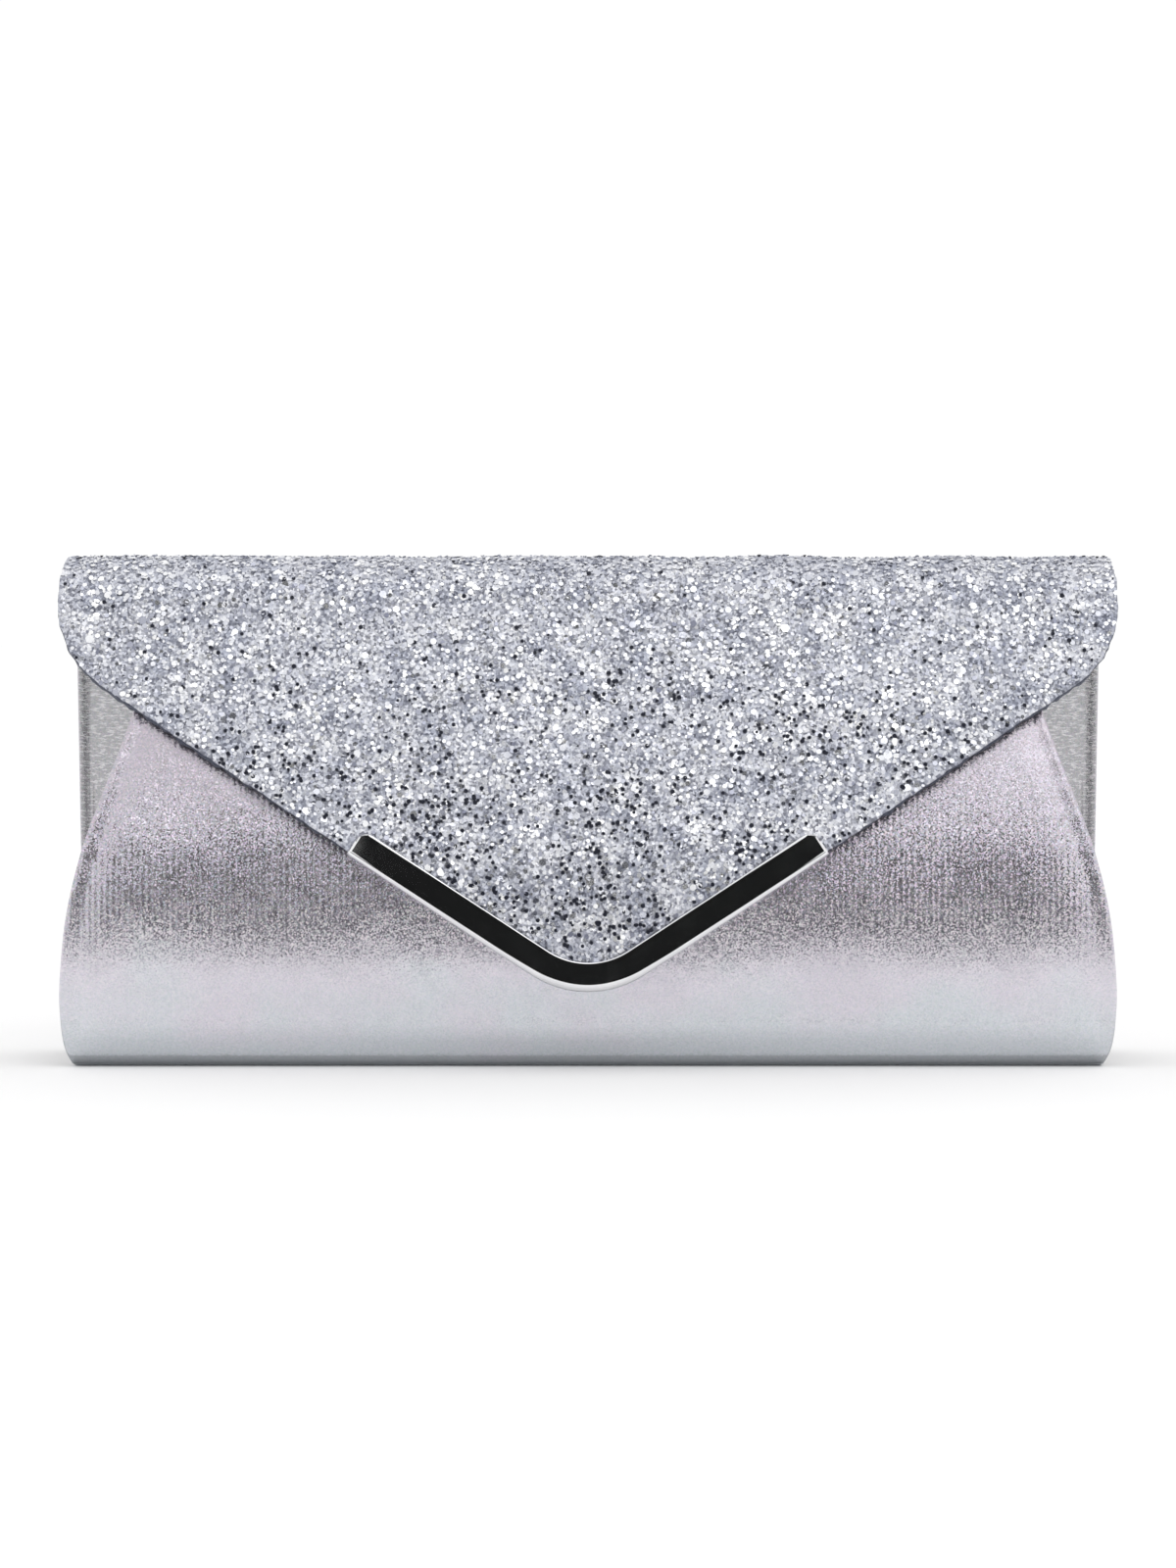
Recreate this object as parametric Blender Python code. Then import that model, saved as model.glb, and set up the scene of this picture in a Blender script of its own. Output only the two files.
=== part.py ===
"""Envelope evening bag: a fabric clutch with a glitter flap, a V-shaped metal edge and a magnetic snap.

Row frame in metres: +X to the bag's left-right width, +Y to its back, +Z up.
The origin is the middle of the flat base. The bag is modelled closed.

Every soft piece is a sheet of its own: the paths below are sections in the Y-Z plane, and
a sheet is a stretch of such a path, set in by a distance, with a thickness and a half width.
"""

import math

import bmesh
import bpy
from mathutils import Vector

MM = 0.001

# Layers of a padded wall, from the outside in.
FABRIC = 0.9 * MM
BOARD = 1.2 * MM
LINING = 0.6 * MM
LAYER_GAP = 0.3 * MM
WALL_BOARD_INSET = FABRIC + LAYER_GAP
WALL_LINING_INSET = WALL_BOARD_INSET + BOARD + LAYER_GAP
WALL = WALL_LINING_INSET + LINING

# Body.
BODY_HALF_WIDTH = 123.5 * MM
BASE_FRONT_Y = -16 * MM
BASE_BACK_Y = 17 * MM
BACK_CORNER = 5 * MM
BACK_HALF_WIDTH = 122.5 * MM
BACK_TOP_Y = 8 * MM
BACK_TOP_Z = 112 * MM
INNER_FOOT_HALF_WIDTH = 118.5 * MM
INNER_TOP_HALF_WIDTH = 107 * MM
BASE_BOARD_MARGIN = 0.8 * MM
BACK_SEAM_Z = 7 * MM
FRONT_SEAM_Z = 12 * MM
FRONT_SEAM_Y = -24 * MM
FRONT_TOP_Z = 108 * MM
FRONT_INNER_MARGIN = 4.6 * MM
BINDING_LIFT = 1.5 * MM
BINDING_HEIGHT = 0.8 * MM
# Section of the front wall above its lower seam, as (y, z): a soft belly that leans back to the mouth.
FRONT_SECTION = [
    (-24.0 * MM, 12 * MM),
    (-25.6 * MM, 25 * MM),
    (-26.0 * MM, 38 * MM),
    (-25.0 * MM, 50 * MM),
    (-23.0 * MM, 60 * MM),
    (-19.9 * MM, 72 * MM),
    (-16.3 * MM, 84 * MM),
    (-12.4 * MM, 96 * MM),
    (-8.2 * MM, 108 * MM),
]
# Half width of the front wall by height, as (z, half width).
FRONT_OUTLINE = [
    (12 * MM, 123.5 * MM),
    (20 * MM, 123.5 * MM),
    (36 * MM, 121.8 * MM),
    (52 * MM, 118.0 * MM),
    (66 * MM, 113.0 * MM),
    (82 * MM, 107.3 * MM),
    (108 * MM, 98.5 * MM),
]

# Flap: its section runs from the hinge over the top and down the front.
FLAP_COVER = 0.8 * MM
FLAP_BOARD = 1.0 * MM
FLAP_BOARD_INSET = FLAP_COVER + LAYER_GAP
FLAP_LINING_INSET = FLAP_BOARD_INSET + FLAP_BOARD + LAYER_GAP
FLAP = FLAP_LINING_INSET + LINING
FLAP_SECTION = [
    (9.1 * MM, 112.4 * MM),
    (8.1 * MM, 116.0 * MM),
    (5.0 * MM, 119.0 * MM),
    (0.3 * MM, 120.1 * MM),
    (-4.6 * MM, 119.0 * MM),
    (-8.6 * MM, 116.3 * MM),
    (-11.0 * MM, 112.4 * MM),
    (-12.2 * MM, 108 * MM),
    (-16.5 * MM, 96 * MM),
    (-20.9 * MM, 84 * MM),
    (-25.0 * MM, 72 * MM),
    (-28.7 * MM, 60 * MM),
    (-31.4 * MM, 51 * MM),
    (-32.5 * MM, 43 * MM),
    (-32.6 * MM, 34 * MM),
    (-32.6 * MM, 25 * MM),
    (-32.5 * MM, 17 * MM),
]
FLAP_HALF_WIDTH = 126.05 * MM
FLAP_FOLD_HALF_WIDTH = 123.5 * MM
FLAP_CORNER_RADIUS = 25 * MM
FLAP_SLOPE = math.radians(33.2)
FLAP_TIP_Z = 18.7 * MM
FLAP_TIP_RADIUS = 24 * MM
FLAP_LINING_START = 6
FLAP_BOARD_TOP_Z = 104 * MM
FLAP_HINGE = (0, 9.4 * MM, 112 * MM)
ANCHOR_DEPTH = 15 * MM

# V-shaped metal channel that wraps the flap's tip.
TRIM_WALL = 0.7 * MM
TRIM_GAP = 0.35 * MM
TRIM_FACE = 7.0 * MM
TRIM_LIP = 4.5 * MM
TRIM_EDGE_ROUND = 1.6 * MM
TRIM_END_X = 56.2 * MM

# Side gussets, which fold inwards along a crease.
GUSSET = 0.8 * MM
GUSSET_FOOT_Z = 2 * MM
GUSSET_FRONT_FOOT_Z = 16 * MM
GUSSET_TOP_Z = 104 * MM
GUSSET_SEAM_INSET = 1.2 * MM
CREASE_FOOT_X = 121.3 * MM
CREASE_TOP_X = 90 * MM
CREASE_SPLIT_Z = 34 * MM
CREASE_GAP = 1.9 * MM

# Magnetic snap, which points out of the front wall.
SNAP_Z = 38 * MM
SNAP_RADIUS = 7 * MM
SNAP_PLATE = 0.6 * MM
SNAP_SOCKET_HEIGHT = 1.7 * MM
SNAP_SOCKET_RADIUS = 2.8 * MM
SNAP_DISC = 0.8 * MM
SNAP_DISC_GAP = 0.5 * MM
SNAP_STUD_RADIUS = 1.7 * MM
SNAP_STUD_LENGTH = 1.0 * MM
SHANK_RADIUS = 1.5 * MM
SHANK_HOLE_RADIUS = 2.0 * MM
WASHER_RADIUS = 6 * MM
WASHER_THICKNESS = 0.5 * MM
WASHER_HOLE_RADIUS = 1.85 * MM
BOARD_HOLE_RADIUS = 7 * MM

# Strap rings inside the mouth.
RING_X = 78 * MM
RING_Y = 2.6 * MM
RING_Z = 103 * MM
RING_WIRE = 0.9 * MM
RING_HALF_WIDTH = 6.9 * MM
RING_DROP = 7.6 * MM
TAB_HALF_WIDTH = 4.5 * MM
TAB_THICKNESS = 0.6 * MM
TAB_LOOP_RADIUS = 1.6 * MM
TAB_LOOP_TURN = math.radians(290)
TAB_TOP_Z = 111 * MM

# Slip pocket on the back lining.
POCKET_HALF_WIDTH = 62 * MM
POCKET_FOOT_Z = 25 * MM
POCKET_TOP_Z = 84 * MM
POCKET_SLACK = 1.2 * MM

SILVER_FABRIC = ("silver_fabric", (0.62, 0.60, 0.64), 0.42, 0.6)
GLITTER = ("glitter_fabric", (0.55, 0.57, 0.64), 0.35, 0.7)
CARDBOARD = ("cardboard", (0.45, 0.38, 0.30), 0.9, 0.0)
SATIN = ("lining_satin", (0.42, 0.42, 0.46), 0.5, 0.0)
POLISHED = ("polished_metal", (0.80, 0.80, 0.82), 0.08, 1.0)
NICKEL = ("nickel", (0.70, 0.69, 0.67), 0.25, 1.0)


# Curves and interpolation.


def smooth_path(points, steps):
    """Catmull-Rom curve through the points, with that many steps between each two."""
    ends = [
        Vector(points[0]) * 2 - Vector(points[1]),
        Vector(points[-1]) * 2 - Vector(points[-2]),
    ]
    knots = [ends[0], *map(Vector, points), ends[1]]
    path = []
    for i in range(1, len(knots) - 2):
        before, start, end, after = knots[i - 1 : i + 3]
        for k in range(steps):
            t = k / steps
            path.append(
                start
                + (end - before) * (t / 2)
                + (before * 2 - start * 5 + end * 4 - after) * (t * t / 2)
                + (start * 3 - before - end * 3 + after) * (t**3 / 2)
            )
    path.append(knots[-2])
    return path


def interpolate(table, x):
    """Value at x in a table of (x, value) in rising order."""
    for (x0, v0), (x1, v1) in zip(table, table[1:]):
        if x <= x1:
            return v0 + (v1 - v0) * max(0.0, x - x0) / (x1 - x0)
    return table[-1][1]


def normals_of(path):
    """Unit normals of a Y-Z path, to the left of its direction."""
    normals = []
    for i in range(len(path)):
        along = path[min(i + 1, len(path) - 1)] - path[max(i - 1, 0)]
        normals.append(Vector((-along.y, along.x)).normalized())
    return normals


def offset(path, distance):
    """The path moved to the left of its direction."""
    return [p + n * distance for p, n in zip(path, normals_of(path))]


# The bag's section. A wall's path runs so that the inside is on its left.

FRONT_CURVE = smooth_path(FRONT_SECTION, 3)
FRONT_BY_HEIGHT = [(p.y, p.x) for p in FRONT_CURVE]


def front_y(z):
    """Outer surface of the front wall, with the rounded foot below the seam."""
    if z < FRONT_SEAM_Z:
        reach = FRONT_SEAM_Y - BASE_FRONT_Y
        return BASE_FRONT_Y + reach * math.sqrt(1 - (1 - z / FRONT_SEAM_Z) ** 2)
    return interpolate(FRONT_BY_HEIGHT, z)


def back_y(z):
    """Outer surface of the back wall, which leans forward above its rounded corner."""
    if z < BACK_CORNER:
        return BASE_BACK_Y + BACK_CORNER * math.sqrt(1 - (1 - z / BACK_CORNER) ** 2)
    foot_y = BASE_BACK_Y + BACK_CORNER
    share = (z - BACK_CORNER) / (BACK_TOP_Z - BACK_CORNER)
    return foot_y + (BACK_TOP_Y - foot_y) * share


def front_half_width(z):
    return interpolate(FRONT_OUTLINE, z)


def back_inner_half_width(z):
    """The back board and lining stay inside the folded gussets."""
    return interpolate(
        [(BACK_CORNER, INNER_FOOT_HALF_WIDTH), (BACK_TOP_Z, INNER_TOP_HALF_WIDTH)], z
    )


def base_path():
    """From the back seam down, along the flat base and up to the front seam."""
    corner_steps, foot_steps = 6, 8
    path = [Vector((back_y(BACK_SEAM_Z - LAYER_GAP), BACK_SEAM_Z - LAYER_GAP))]
    for k in range(corner_steps, -1, -1):
        angle = math.pi / 2 * k / corner_steps
        z = BACK_CORNER * (1 - math.cos(angle))
        path.append(Vector((BASE_BACK_Y + BACK_CORNER * math.sin(angle), z)))
    for k in range(foot_steps + 1):
        angle = math.pi / 2 * k / foot_steps
        reach = FRONT_SEAM_Y - BASE_FRONT_Y
        y = BASE_FRONT_Y + reach * math.sin(angle)
        path.append(Vector((y, FRONT_SEAM_Z * (1 - math.cos(angle)))))
    return path[::-1]


def front_path(low_z, high_z):
    """From the top of the front wall down, so that its inside is on the left."""
    heights = [z for z, _ in FRONT_BY_HEIGHT if low_z + MM < z < high_z - MM]
    return [Vector((front_y(z), z)) for z in [low_z, *heights, high_z]][::-1]


def back_path(low_z, high_z):
    return [Vector((back_y(z), z)) for z in (low_z, high_z)]


# The flap's outline, as half width by height.


def flap_half_width(z, inset=0.0):
    """Half width of the flap's front. The tip and the two upper corners are arcs."""
    sine, cosine = math.sin(FLAP_SLOPE), math.cos(FLAP_SLOPE)
    radius = FLAP_TIP_RADIUS - inset
    centre_z = FLAP_TIP_Z + FLAP_TIP_RADIUS
    tangent_x, tangent_z = radius * sine, centre_z - radius * cosine
    if z <= tangent_z:
        return math.sqrt(max(0.0, radius**2 - (centre_z - z) ** 2))
    widest = FLAP_HALF_WIDTH - inset
    corner = FLAP_CORNER_RADIUS - inset
    corner_x = widest - corner * (1 - sine)
    slope_z = tangent_z + (corner_x - tangent_x) * sine / cosine
    if z <= slope_z:
        return tangent_x + (z - tangent_z) * cosine / sine
    corner_z = slope_z + corner * cosine
    if z <= corner_z:
        return widest - corner + math.sqrt(corner**2 - (corner_z - z) ** 2)
    return widest


FLAP_CURVE = smooth_path(FLAP_SECTION, 3)
FLAP_FRONT_START = 21
FLAP_BY_HEIGHT = [(p.y, p.x) for p in reversed(FLAP_CURVE[FLAP_FRONT_START:])]


def flap_y(z):
    """Outer surface of the flap's front."""
    return interpolate(FLAP_BY_HEIGHT, z)


def flap_path(start, edge_inset):
    """The flap's section from a station of its curve, with close steps round the tip."""
    centre_z = FLAP_TIP_Z + FLAP_TIP_RADIUS
    radius = FLAP_TIP_RADIUS - edge_inset
    tip_top_z = centre_z - radius * math.cos(FLAP_SLOPE)
    path = [p for p in FLAP_CURVE[start:] if p.y > tip_top_z + MM]
    tip_steps = 6
    for k in range(tip_steps, 0, -1):
        z = centre_z - radius * math.cos(FLAP_SLOPE * (k - 0.7) / (tip_steps - 0.7))
        path.append(Vector((flap_y(z), z)))
    return path


# Solids.


def material(look):
    name, colour, roughness, metallic = look
    made = bpy.data.materials.get(name)
    if made is None:
        made = bpy.data.materials.new(name)
        made.use_nodes = True
        shader = made.node_tree.nodes["Principled BSDF"]
        shader.inputs["Base Color"].default_value = (*colour, 1)
        shader.inputs["Roughness"].default_value = roughness
        shader.inputs["Metallic"].default_value = metallic
    return made


def add_object(name, data, look):
    made = bpy.data.objects.new(name, data)
    made.data.materials.append(material(look))
    bpy.context.scene.collection.objects.link(made)
    return made


def add_loft(name, rings, look, twisted=False):
    """A closed solid through rings of equal length, capped at both ends.

    Twisted is for rings that turn against each other, whose sides are split into flat triangles.
    """
    mesh = bmesh.new()
    loops = [[mesh.verts.new(p) for p in ring] for ring in rings]
    count = len(loops[0])
    for first, second in zip(loops, loops[1:]):
        for i in range(count):
            j = (i + 1) % count
            mesh.faces.new((first[i], first[j], second[j], second[i]))
    if twisted:
        bmesh.ops.triangulate(mesh, faces=mesh.faces)
    mesh.faces.new(loops[0][::-1])
    mesh.faces.new(loops[-1])
    bmesh.ops.recalc_face_normals(mesh, faces=mesh.faces)
    data = bpy.data.meshes.new(name)
    mesh.to_mesh(data)
    mesh.free()
    data.shade_smooth()
    data.set_sharp_from_angle(angle=math.radians(35))
    return add_object(name, data, look)


def add_sheet(name, path, inset, thickness, half_width, look, middle_x=0.0):
    """A stretch of fabric or board: the path set in, thickened, and half_width(z) to each side."""
    outer, inner = offset(path, inset), offset(path, inset + thickness)
    rings = []
    for station, (o, i) in zip(path, zip(outer, inner)):
        w = half_width(station.y)
        rings.append(
            [
                (middle_x - w, o.x, o.y),
                (middle_x + w, o.x, o.y),
                (middle_x + w, i.x, i.y),
                (middle_x - w, i.x, i.y),
            ]
        )
    return add_loft(name, rings, look)


def add_turned(name, section, centre, look, segments=32):
    """A solid turned about an axis along Y. The section is (radius, distance towards -Y)."""
    mesh = bmesh.new()
    rows = []
    for radius, out in section:
        angles = [2 * math.pi * k / segments for k in range(segments)]
        if radius == 0:
            rows.append([mesh.verts.new((0, -out, 0))] * segments)
        else:
            rows.append(
                [
                    mesh.verts.new(
                        (radius * math.cos(a), -out, radius * math.sin(a))
                    )
                    for a in angles
                ]
            )
    for i, first in enumerate(rows):
        second = rows[(i + 1) % len(rows)]
        if len(set(first)) == 1 and len(set(second)) == 1:
            continue
        for k in range(segments):
            m = (k + 1) % segments
            corners = list(dict.fromkeys((first[k], first[m], second[m], second[k])))
            mesh.faces.new(corners)
    bmesh.ops.recalc_face_normals(mesh, faces=mesh.faces)
    data = bpy.data.meshes.new(name)
    mesh.to_mesh(data)
    mesh.free()
    data.shade_smooth()
    data.set_sharp_from_angle(angle=math.radians(35))
    made = add_object(name, data, look)
    made.location = centre
    return made


def cut_round_hole(part, radius, centre):
    """Drills through a part along Y."""
    depth = 12 * MM
    bpy.ops.mesh.primitive_cylinder_add(
        vertices=32,
        radius=radius,
        depth=depth,
        location=centre,
        rotation=(math.pi / 2, 0, 0),
    )
    cutter = bpy.context.active_object
    cutter.name = part.name + "_cutter"
    cutter.hide_render = True
    cutter.display_type = "WIRE"
    hole = part.modifiers.new("hole", "BOOLEAN")
    hole.operation = "DIFFERENCE"
    hole.solver = "EXACT"
    hole.object = cutter


# Body shell.


def constant(width):
    return lambda z: width


def add_shell():
    wrap = base_path()
    inner_width = constant(INNER_FOOT_HALF_WIDTH)
    add_sheet("base_panel", wrap, 0, FABRIC, constant(BODY_HALF_WIDTH), SILVER_FABRIC)
    add_sheet("base_lining", wrap, WALL_LINING_INSET, LINING, inner_width, SATIN)
    flat = [
        Vector((BASE_FRONT_Y + BASE_BOARD_MARGIN, 0)),
        Vector((BASE_BACK_Y - BASE_BOARD_MARGIN, 0)),
    ]
    add_sheet("base_board", flat, WALL_BOARD_INSET, BOARD, inner_width, CARDBOARD)

    back = back_path(BACK_SEAM_Z, BACK_TOP_Z)
    add_sheet("back_panel", back, 0, FABRIC, constant(BACK_HALF_WIDTH), SILVER_FABRIC)
    add_sheet(
        "back_board", back, WALL_BOARD_INSET, BOARD, back_inner_half_width, CARDBOARD
    )
    add_sheet(
        "back_lining", back, WALL_LINING_INSET, LINING, back_inner_half_width, SATIN
    )
    anchor = back_path(BACK_TOP_Z - ANCHOR_DEPTH, BACK_TOP_Z)
    add_sheet(
        "flap_anchor_strip",
        anchor,
        -LAYER_GAP - FLAP_COVER,
        FLAP_COVER,
        constant(BACK_HALF_WIDTH),
        GLITTER,
    )


def add_pocket():
    """A slip pocket, which stands off the lining a little more at its mouth."""
    foot, top = POCKET_FOOT_Z, POCKET_TOP_Z
    path = [
        Vector((back_y(foot) - LAYER_GAP, foot)),
        Vector((back_y(top) - POCKET_SLACK, top)),
    ]
    add_sheet("slip_pocket", path, WALL, LINING, constant(POCKET_HALF_WIDTH), SATIN)


# Front wall.


def add_front():
    low = FRONT_SEAM_Z + LAYER_GAP
    path = front_path(low, FRONT_TOP_Z)
    panel = add_sheet("front_panel", path, 0, FABRIC, front_half_width, SILVER_FABRIC)

    def inner_half_width(z):
        return front_half_width(z) - FRONT_INNER_MARGIN

    board = add_sheet(
        "front_board", path, WALL_BOARD_INSET, BOARD, inner_half_width, CARDBOARD
    )
    add_sheet(
        "front_lining", path, WALL_LINING_INSET, LINING, inner_half_width, SATIN
    )
    snap = (0, front_y(SNAP_Z), SNAP_Z)
    cut_round_hole(panel, SHANK_HOLE_RADIUS, snap)
    cut_round_hole(board, BOARD_HOLE_RADIUS, snap)

    top_y = front_y(FRONT_TOP_Z)
    low_z = FRONT_TOP_Z + BINDING_LIFT
    high_z = low_z + BINDING_HEIGHT
    rings = []
    for side in (-1, 1):
        x = side * inner_half_width(FRONT_TOP_Z)
        rings.append(
            [
                (x, top_y, low_z),
                (x, top_y + WALL, low_z),
                (x, top_y + WALL, high_z),
                (x, top_y, high_z),
            ]
        )
    add_loft("mouth_binding", rings, SILVER_FABRIC)


# Gussets.


def seam_inset():
    return FABRIC + LAYER_GAP + GUSSET / 2


def front_seam_point(z):
    return Vector(
        (front_half_width(z) - GUSSET_SEAM_INSET, front_y(z) + seam_inset())
    )


def back_seam_point(z):
    return Vector((BACK_HALF_WIDTH - GUSSET_SEAM_INSET, back_y(z) - seam_inset()))


def crease_point(z):
    """Where the two halves of a gusset meet. Below the split the crease runs to the front corner."""
    front, back = front_seam_point(z), back_seam_point(z)
    share = max(0.0, z - FRONT_SEAM_Z) / (GUSSET_TOP_Z - FRONT_SEAM_Z)
    x = CREASE_FOOT_X + (CREASE_TOP_X - CREASE_FOOT_X) * share
    middle = (front.y + back.y) / 2
    if z >= CREASE_SPLIT_Z:
        return Vector((x, middle))
    turn = max(0.0, z - FRONT_SEAM_Z) / (CREASE_SPLIT_Z - FRONT_SEAM_Z)
    return Vector((x, front.y + (middle - front.y) * turn))


def gusset_ring(edge, crease, z, side):
    """Four corners of a gusset half at a height, from its sewn edge to just short of the crease."""
    along = (crease - edge).normalized()
    across = Vector((-along.y, along.x)) * (GUSSET / 2)
    end = crease - along * (CREASE_GAP / 2)
    corners = [edge + across, end + across, end - across, edge - across]
    return [(side * p.x, p.y, z) for p in corners]


def steps_between(low, high, steps):
    return [low + (high - low) * k / steps for k in range(steps + 1)]


def add_gusset(side, name):
    """The rear half is one sheet with the foot; the front half starts where the crease splits off."""
    foot = steps_between(GUSSET_FOOT_Z, FRONT_SEAM_Z, 4)
    rise = steps_between(GUSSET_FRONT_FOOT_Z, CREASE_SPLIT_Z, 4)
    folded = steps_between(CREASE_SPLIT_Z, GUSSET_TOP_Z, 8)[1:]
    rear_rings = [
        gusset_ring(back_seam_point(z), crease_point(z), z, side)
        for z in foot + rise + folded
    ]
    front_rings = [
        gusset_ring(front_seam_point(z), crease_point(z), z, side)
        for z in rise + folded
    ]
    add_loft(f"gusset_{name}_rear", rear_rings, SILVER_FABRIC, twisted=True)
    add_loft(f"gusset_{name}_front", front_rings, SILVER_FABRIC, twisted=True)


# Flap.


def add_flap():
    edge = TRIM_WALL + TRIM_GAP

    def cover_half_width(z):
        return flap_half_width(z, edge)

    def fold_half_width(z):
        """The fold over the top is a little narrower than the flap below it."""
        wide = cover_half_width(z)
        share = interpolate([(108 * MM, 0.0), (120 * MM, 1.0)], z)
        return wide + (FLAP_FOLD_HALF_WIDTH - wide) * share

    add_sheet("flap_cover", flap_path(0, edge), 0, FLAP_COVER, fold_half_width, GLITTER)
    lining_edge = edge + 1.0 * MM

    def lining_half_width(z):
        return flap_half_width(z, lining_edge)

    lining_path = flap_path(FLAP_LINING_START, lining_edge)
    lining = add_sheet(
        "flap_lining", lining_path, FLAP_LINING_INSET, LINING, lining_half_width, SATIN
    )
    board_edge = edge + 1.5 * MM

    def board_half_width(z):
        return flap_half_width(z, board_edge)

    board_path = [
        p for p in flap_path(FLAP_LINING_START, board_edge) if p.y < FLAP_BOARD_TOP_Z
    ]
    board = add_sheet(
        "flap_board", board_path, FLAP_BOARD_INSET, FLAP_BOARD, board_half_width, CARDBOARD
    )
    snap = (0, flap_y(SNAP_Z), SNAP_Z)
    cut_round_hole(lining, SHANK_HOLE_RADIUS, snap)
    cut_round_hole(board, BOARD_HOLE_RADIUS, snap)


def trim_outline():
    """Right to left along the V's outer edge: points in X-Z, each with its inward direction."""
    centre_z = FLAP_TIP_Z + FLAP_TIP_RADIUS
    sine, cosine = math.sin(FLAP_SLOPE), math.cos(FLAP_SLOPE)
    leg_start = Vector((FLAP_TIP_RADIUS * sine, centre_z - FLAP_TIP_RADIUS * cosine))
    leg = Vector((cosine, sine))
    length = (TRIM_END_X - leg_start.x) / cosine
    leg_steps, arc_steps = 10, 14
    stations = []
    for k in range(leg_steps, 0, -1):
        point = leg_start + leg * (length * k / leg_steps)
        stations.append((point, Vector((-sine, cosine))))
    for k in range(arc_steps + 1):
        angle = FLAP_SLOPE * (1 - 2 * k / arc_steps)
        inward = Vector((-math.sin(angle), math.cos(angle)))
        stations.append((Vector((0, centre_z)) - inward * FLAP_TIP_RADIUS, inward))
    for point, inward in reversed(stations[:leg_steps]):
        stations.append((Vector((-point.x, point.y)), Vector((-inward.x, inward.y))))
    return stations


def trim_section():
    """Closed section of the channel: (distance in from its edge, distance behind the flap's face)."""
    front = -TRIM_GAP - TRIM_WALL
    back = FLAP + TRIM_GAP + TRIM_WALL
    section = [(TRIM_FACE, front)]
    round_steps = 4
    for k in range(round_steps + 1):
        angle = math.pi / 2 * k / round_steps
        section.append(
            (
                TRIM_EDGE_ROUND * (1 - math.sin(angle)),
                front + TRIM_EDGE_ROUND * (1 - math.cos(angle)),
            )
        )
    section += [
        (0, back - TRIM_WALL),
        (TRIM_WALL, back),
        (TRIM_LIP, back),
        (TRIM_LIP, back - TRIM_WALL),
        (TRIM_WALL, back - TRIM_WALL),
        (TRIM_WALL, front + TRIM_WALL),
        (TRIM_FACE, front + TRIM_WALL),
    ]
    return section


def add_trim():
    rings = []
    for point, inward in trim_outline():
        ring = []
        for depth_in, behind in trim_section():
            p = point + inward * depth_in
            ring.append((p.x, flap_y(p.y) + behind, p.y))
        rings.append(ring)
    add_loft("flap_edge_trim", rings, POLISHED)


# Magnetic snap.


def add_snap():
    face = (0, front_y(SNAP_Z), SNAP_Z)
    plate_top = LAYER_GAP + SNAP_PLATE
    socket_top = LAYER_GAP + SNAP_SOCKET_HEIGHT
    shank_end = -(WALL_BOARD_INSET + BOARD - 0.1 * MM)
    add_turned(
        "snap_socket",
        [
            (0, shank_end),
            (SHANK_RADIUS, shank_end),
            (SHANK_RADIUS, LAYER_GAP),
            (SNAP_RADIUS, LAYER_GAP),
            (SNAP_RADIUS, socket_top - 0.4 * MM),
            (SNAP_RADIUS - 0.4 * MM, socket_top),
            (SNAP_SOCKET_RADIUS, socket_top),
            (SNAP_SOCKET_RADIUS, plate_top),
            (0, plate_top),
        ],
        face,
        NICKEL,
    )
    add_washer("snap_socket_washer", -(WALL_BOARD_INSET + BOARD / 2), face)

    flap_face = (0, flap_y(SNAP_Z), SNAP_Z)
    disc_start = -(FLAP + SNAP_DISC_GAP)
    disc_end = disc_start - SNAP_DISC
    stud_end = disc_end - SNAP_STUD_LENGTH
    shank_start = -(FLAP_BOARD_INSET + 0.1 * MM)
    add_turned(
        "snap_stud",
        [
            (0, shank_start),
            (SHANK_RADIUS, shank_start),
            (SHANK_RADIUS, disc_start),
            (SNAP_RADIUS, disc_start),
            (SNAP_RADIUS, disc_end),
            (SNAP_STUD_RADIUS, disc_end),
            (SNAP_STUD_RADIUS - 0.3 * MM, stud_end),
            (0, stud_end),
        ],
        flap_face,
        NICKEL,
    )
    add_washer("snap_stud_washer", -(FLAP_BOARD_INSET + FLAP_BOARD / 2), flap_face)


def add_washer(name, middle, centre):
    half = WASHER_THICKNESS / 2
    add_turned(
        name,
        [
            (WASHER_HOLE_RADIUS, middle - half),
            (WASHER_RADIUS, middle - half),
            (WASHER_RADIUS, middle + half),
            (WASHER_HOLE_RADIUS, middle + half),
        ],
        centre,
        NICKEL,
    )


# Strap rings and their tabs.


def add_ring(side, name):
    """A D-ring: a straight bar in the tab's loop, and a bow that hangs below it."""
    data = bpy.data.curves.new(f"strap_ring_{name}", "CURVE")
    data.dimensions = "3D"
    data.bevel_depth = RING_WIRE
    data.bevel_resolution = 2
    data.resolution_u = 1
    bar_half = RING_HALF_WIDTH - 0.8 * MM
    bow_steps = 16
    points = [(bar_half * t, 0, 0) for t in (1.0, 0.5, 0.0, -0.5, -1.0)]
    for k in range(1, bow_steps):
        angle = math.pi * k / bow_steps
        bow_x = -RING_HALF_WIDTH * math.copysign(
            abs(math.cos(angle)) ** 0.6, math.cos(angle)
        )
        points.append((bow_x, 0, -RING_DROP * math.sin(angle)))
    spline = data.splines.new("POLY")
    spline.points.add(len(points) - 1)
    for point, place in zip(spline.points, points):
        point.co = (*place, 1)
    spline.use_cyclic_u = True
    ring = add_object(f"strap_ring_{name}", data, NICKEL)
    ring.location = (side * RING_X, RING_Y, RING_Z)


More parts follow.
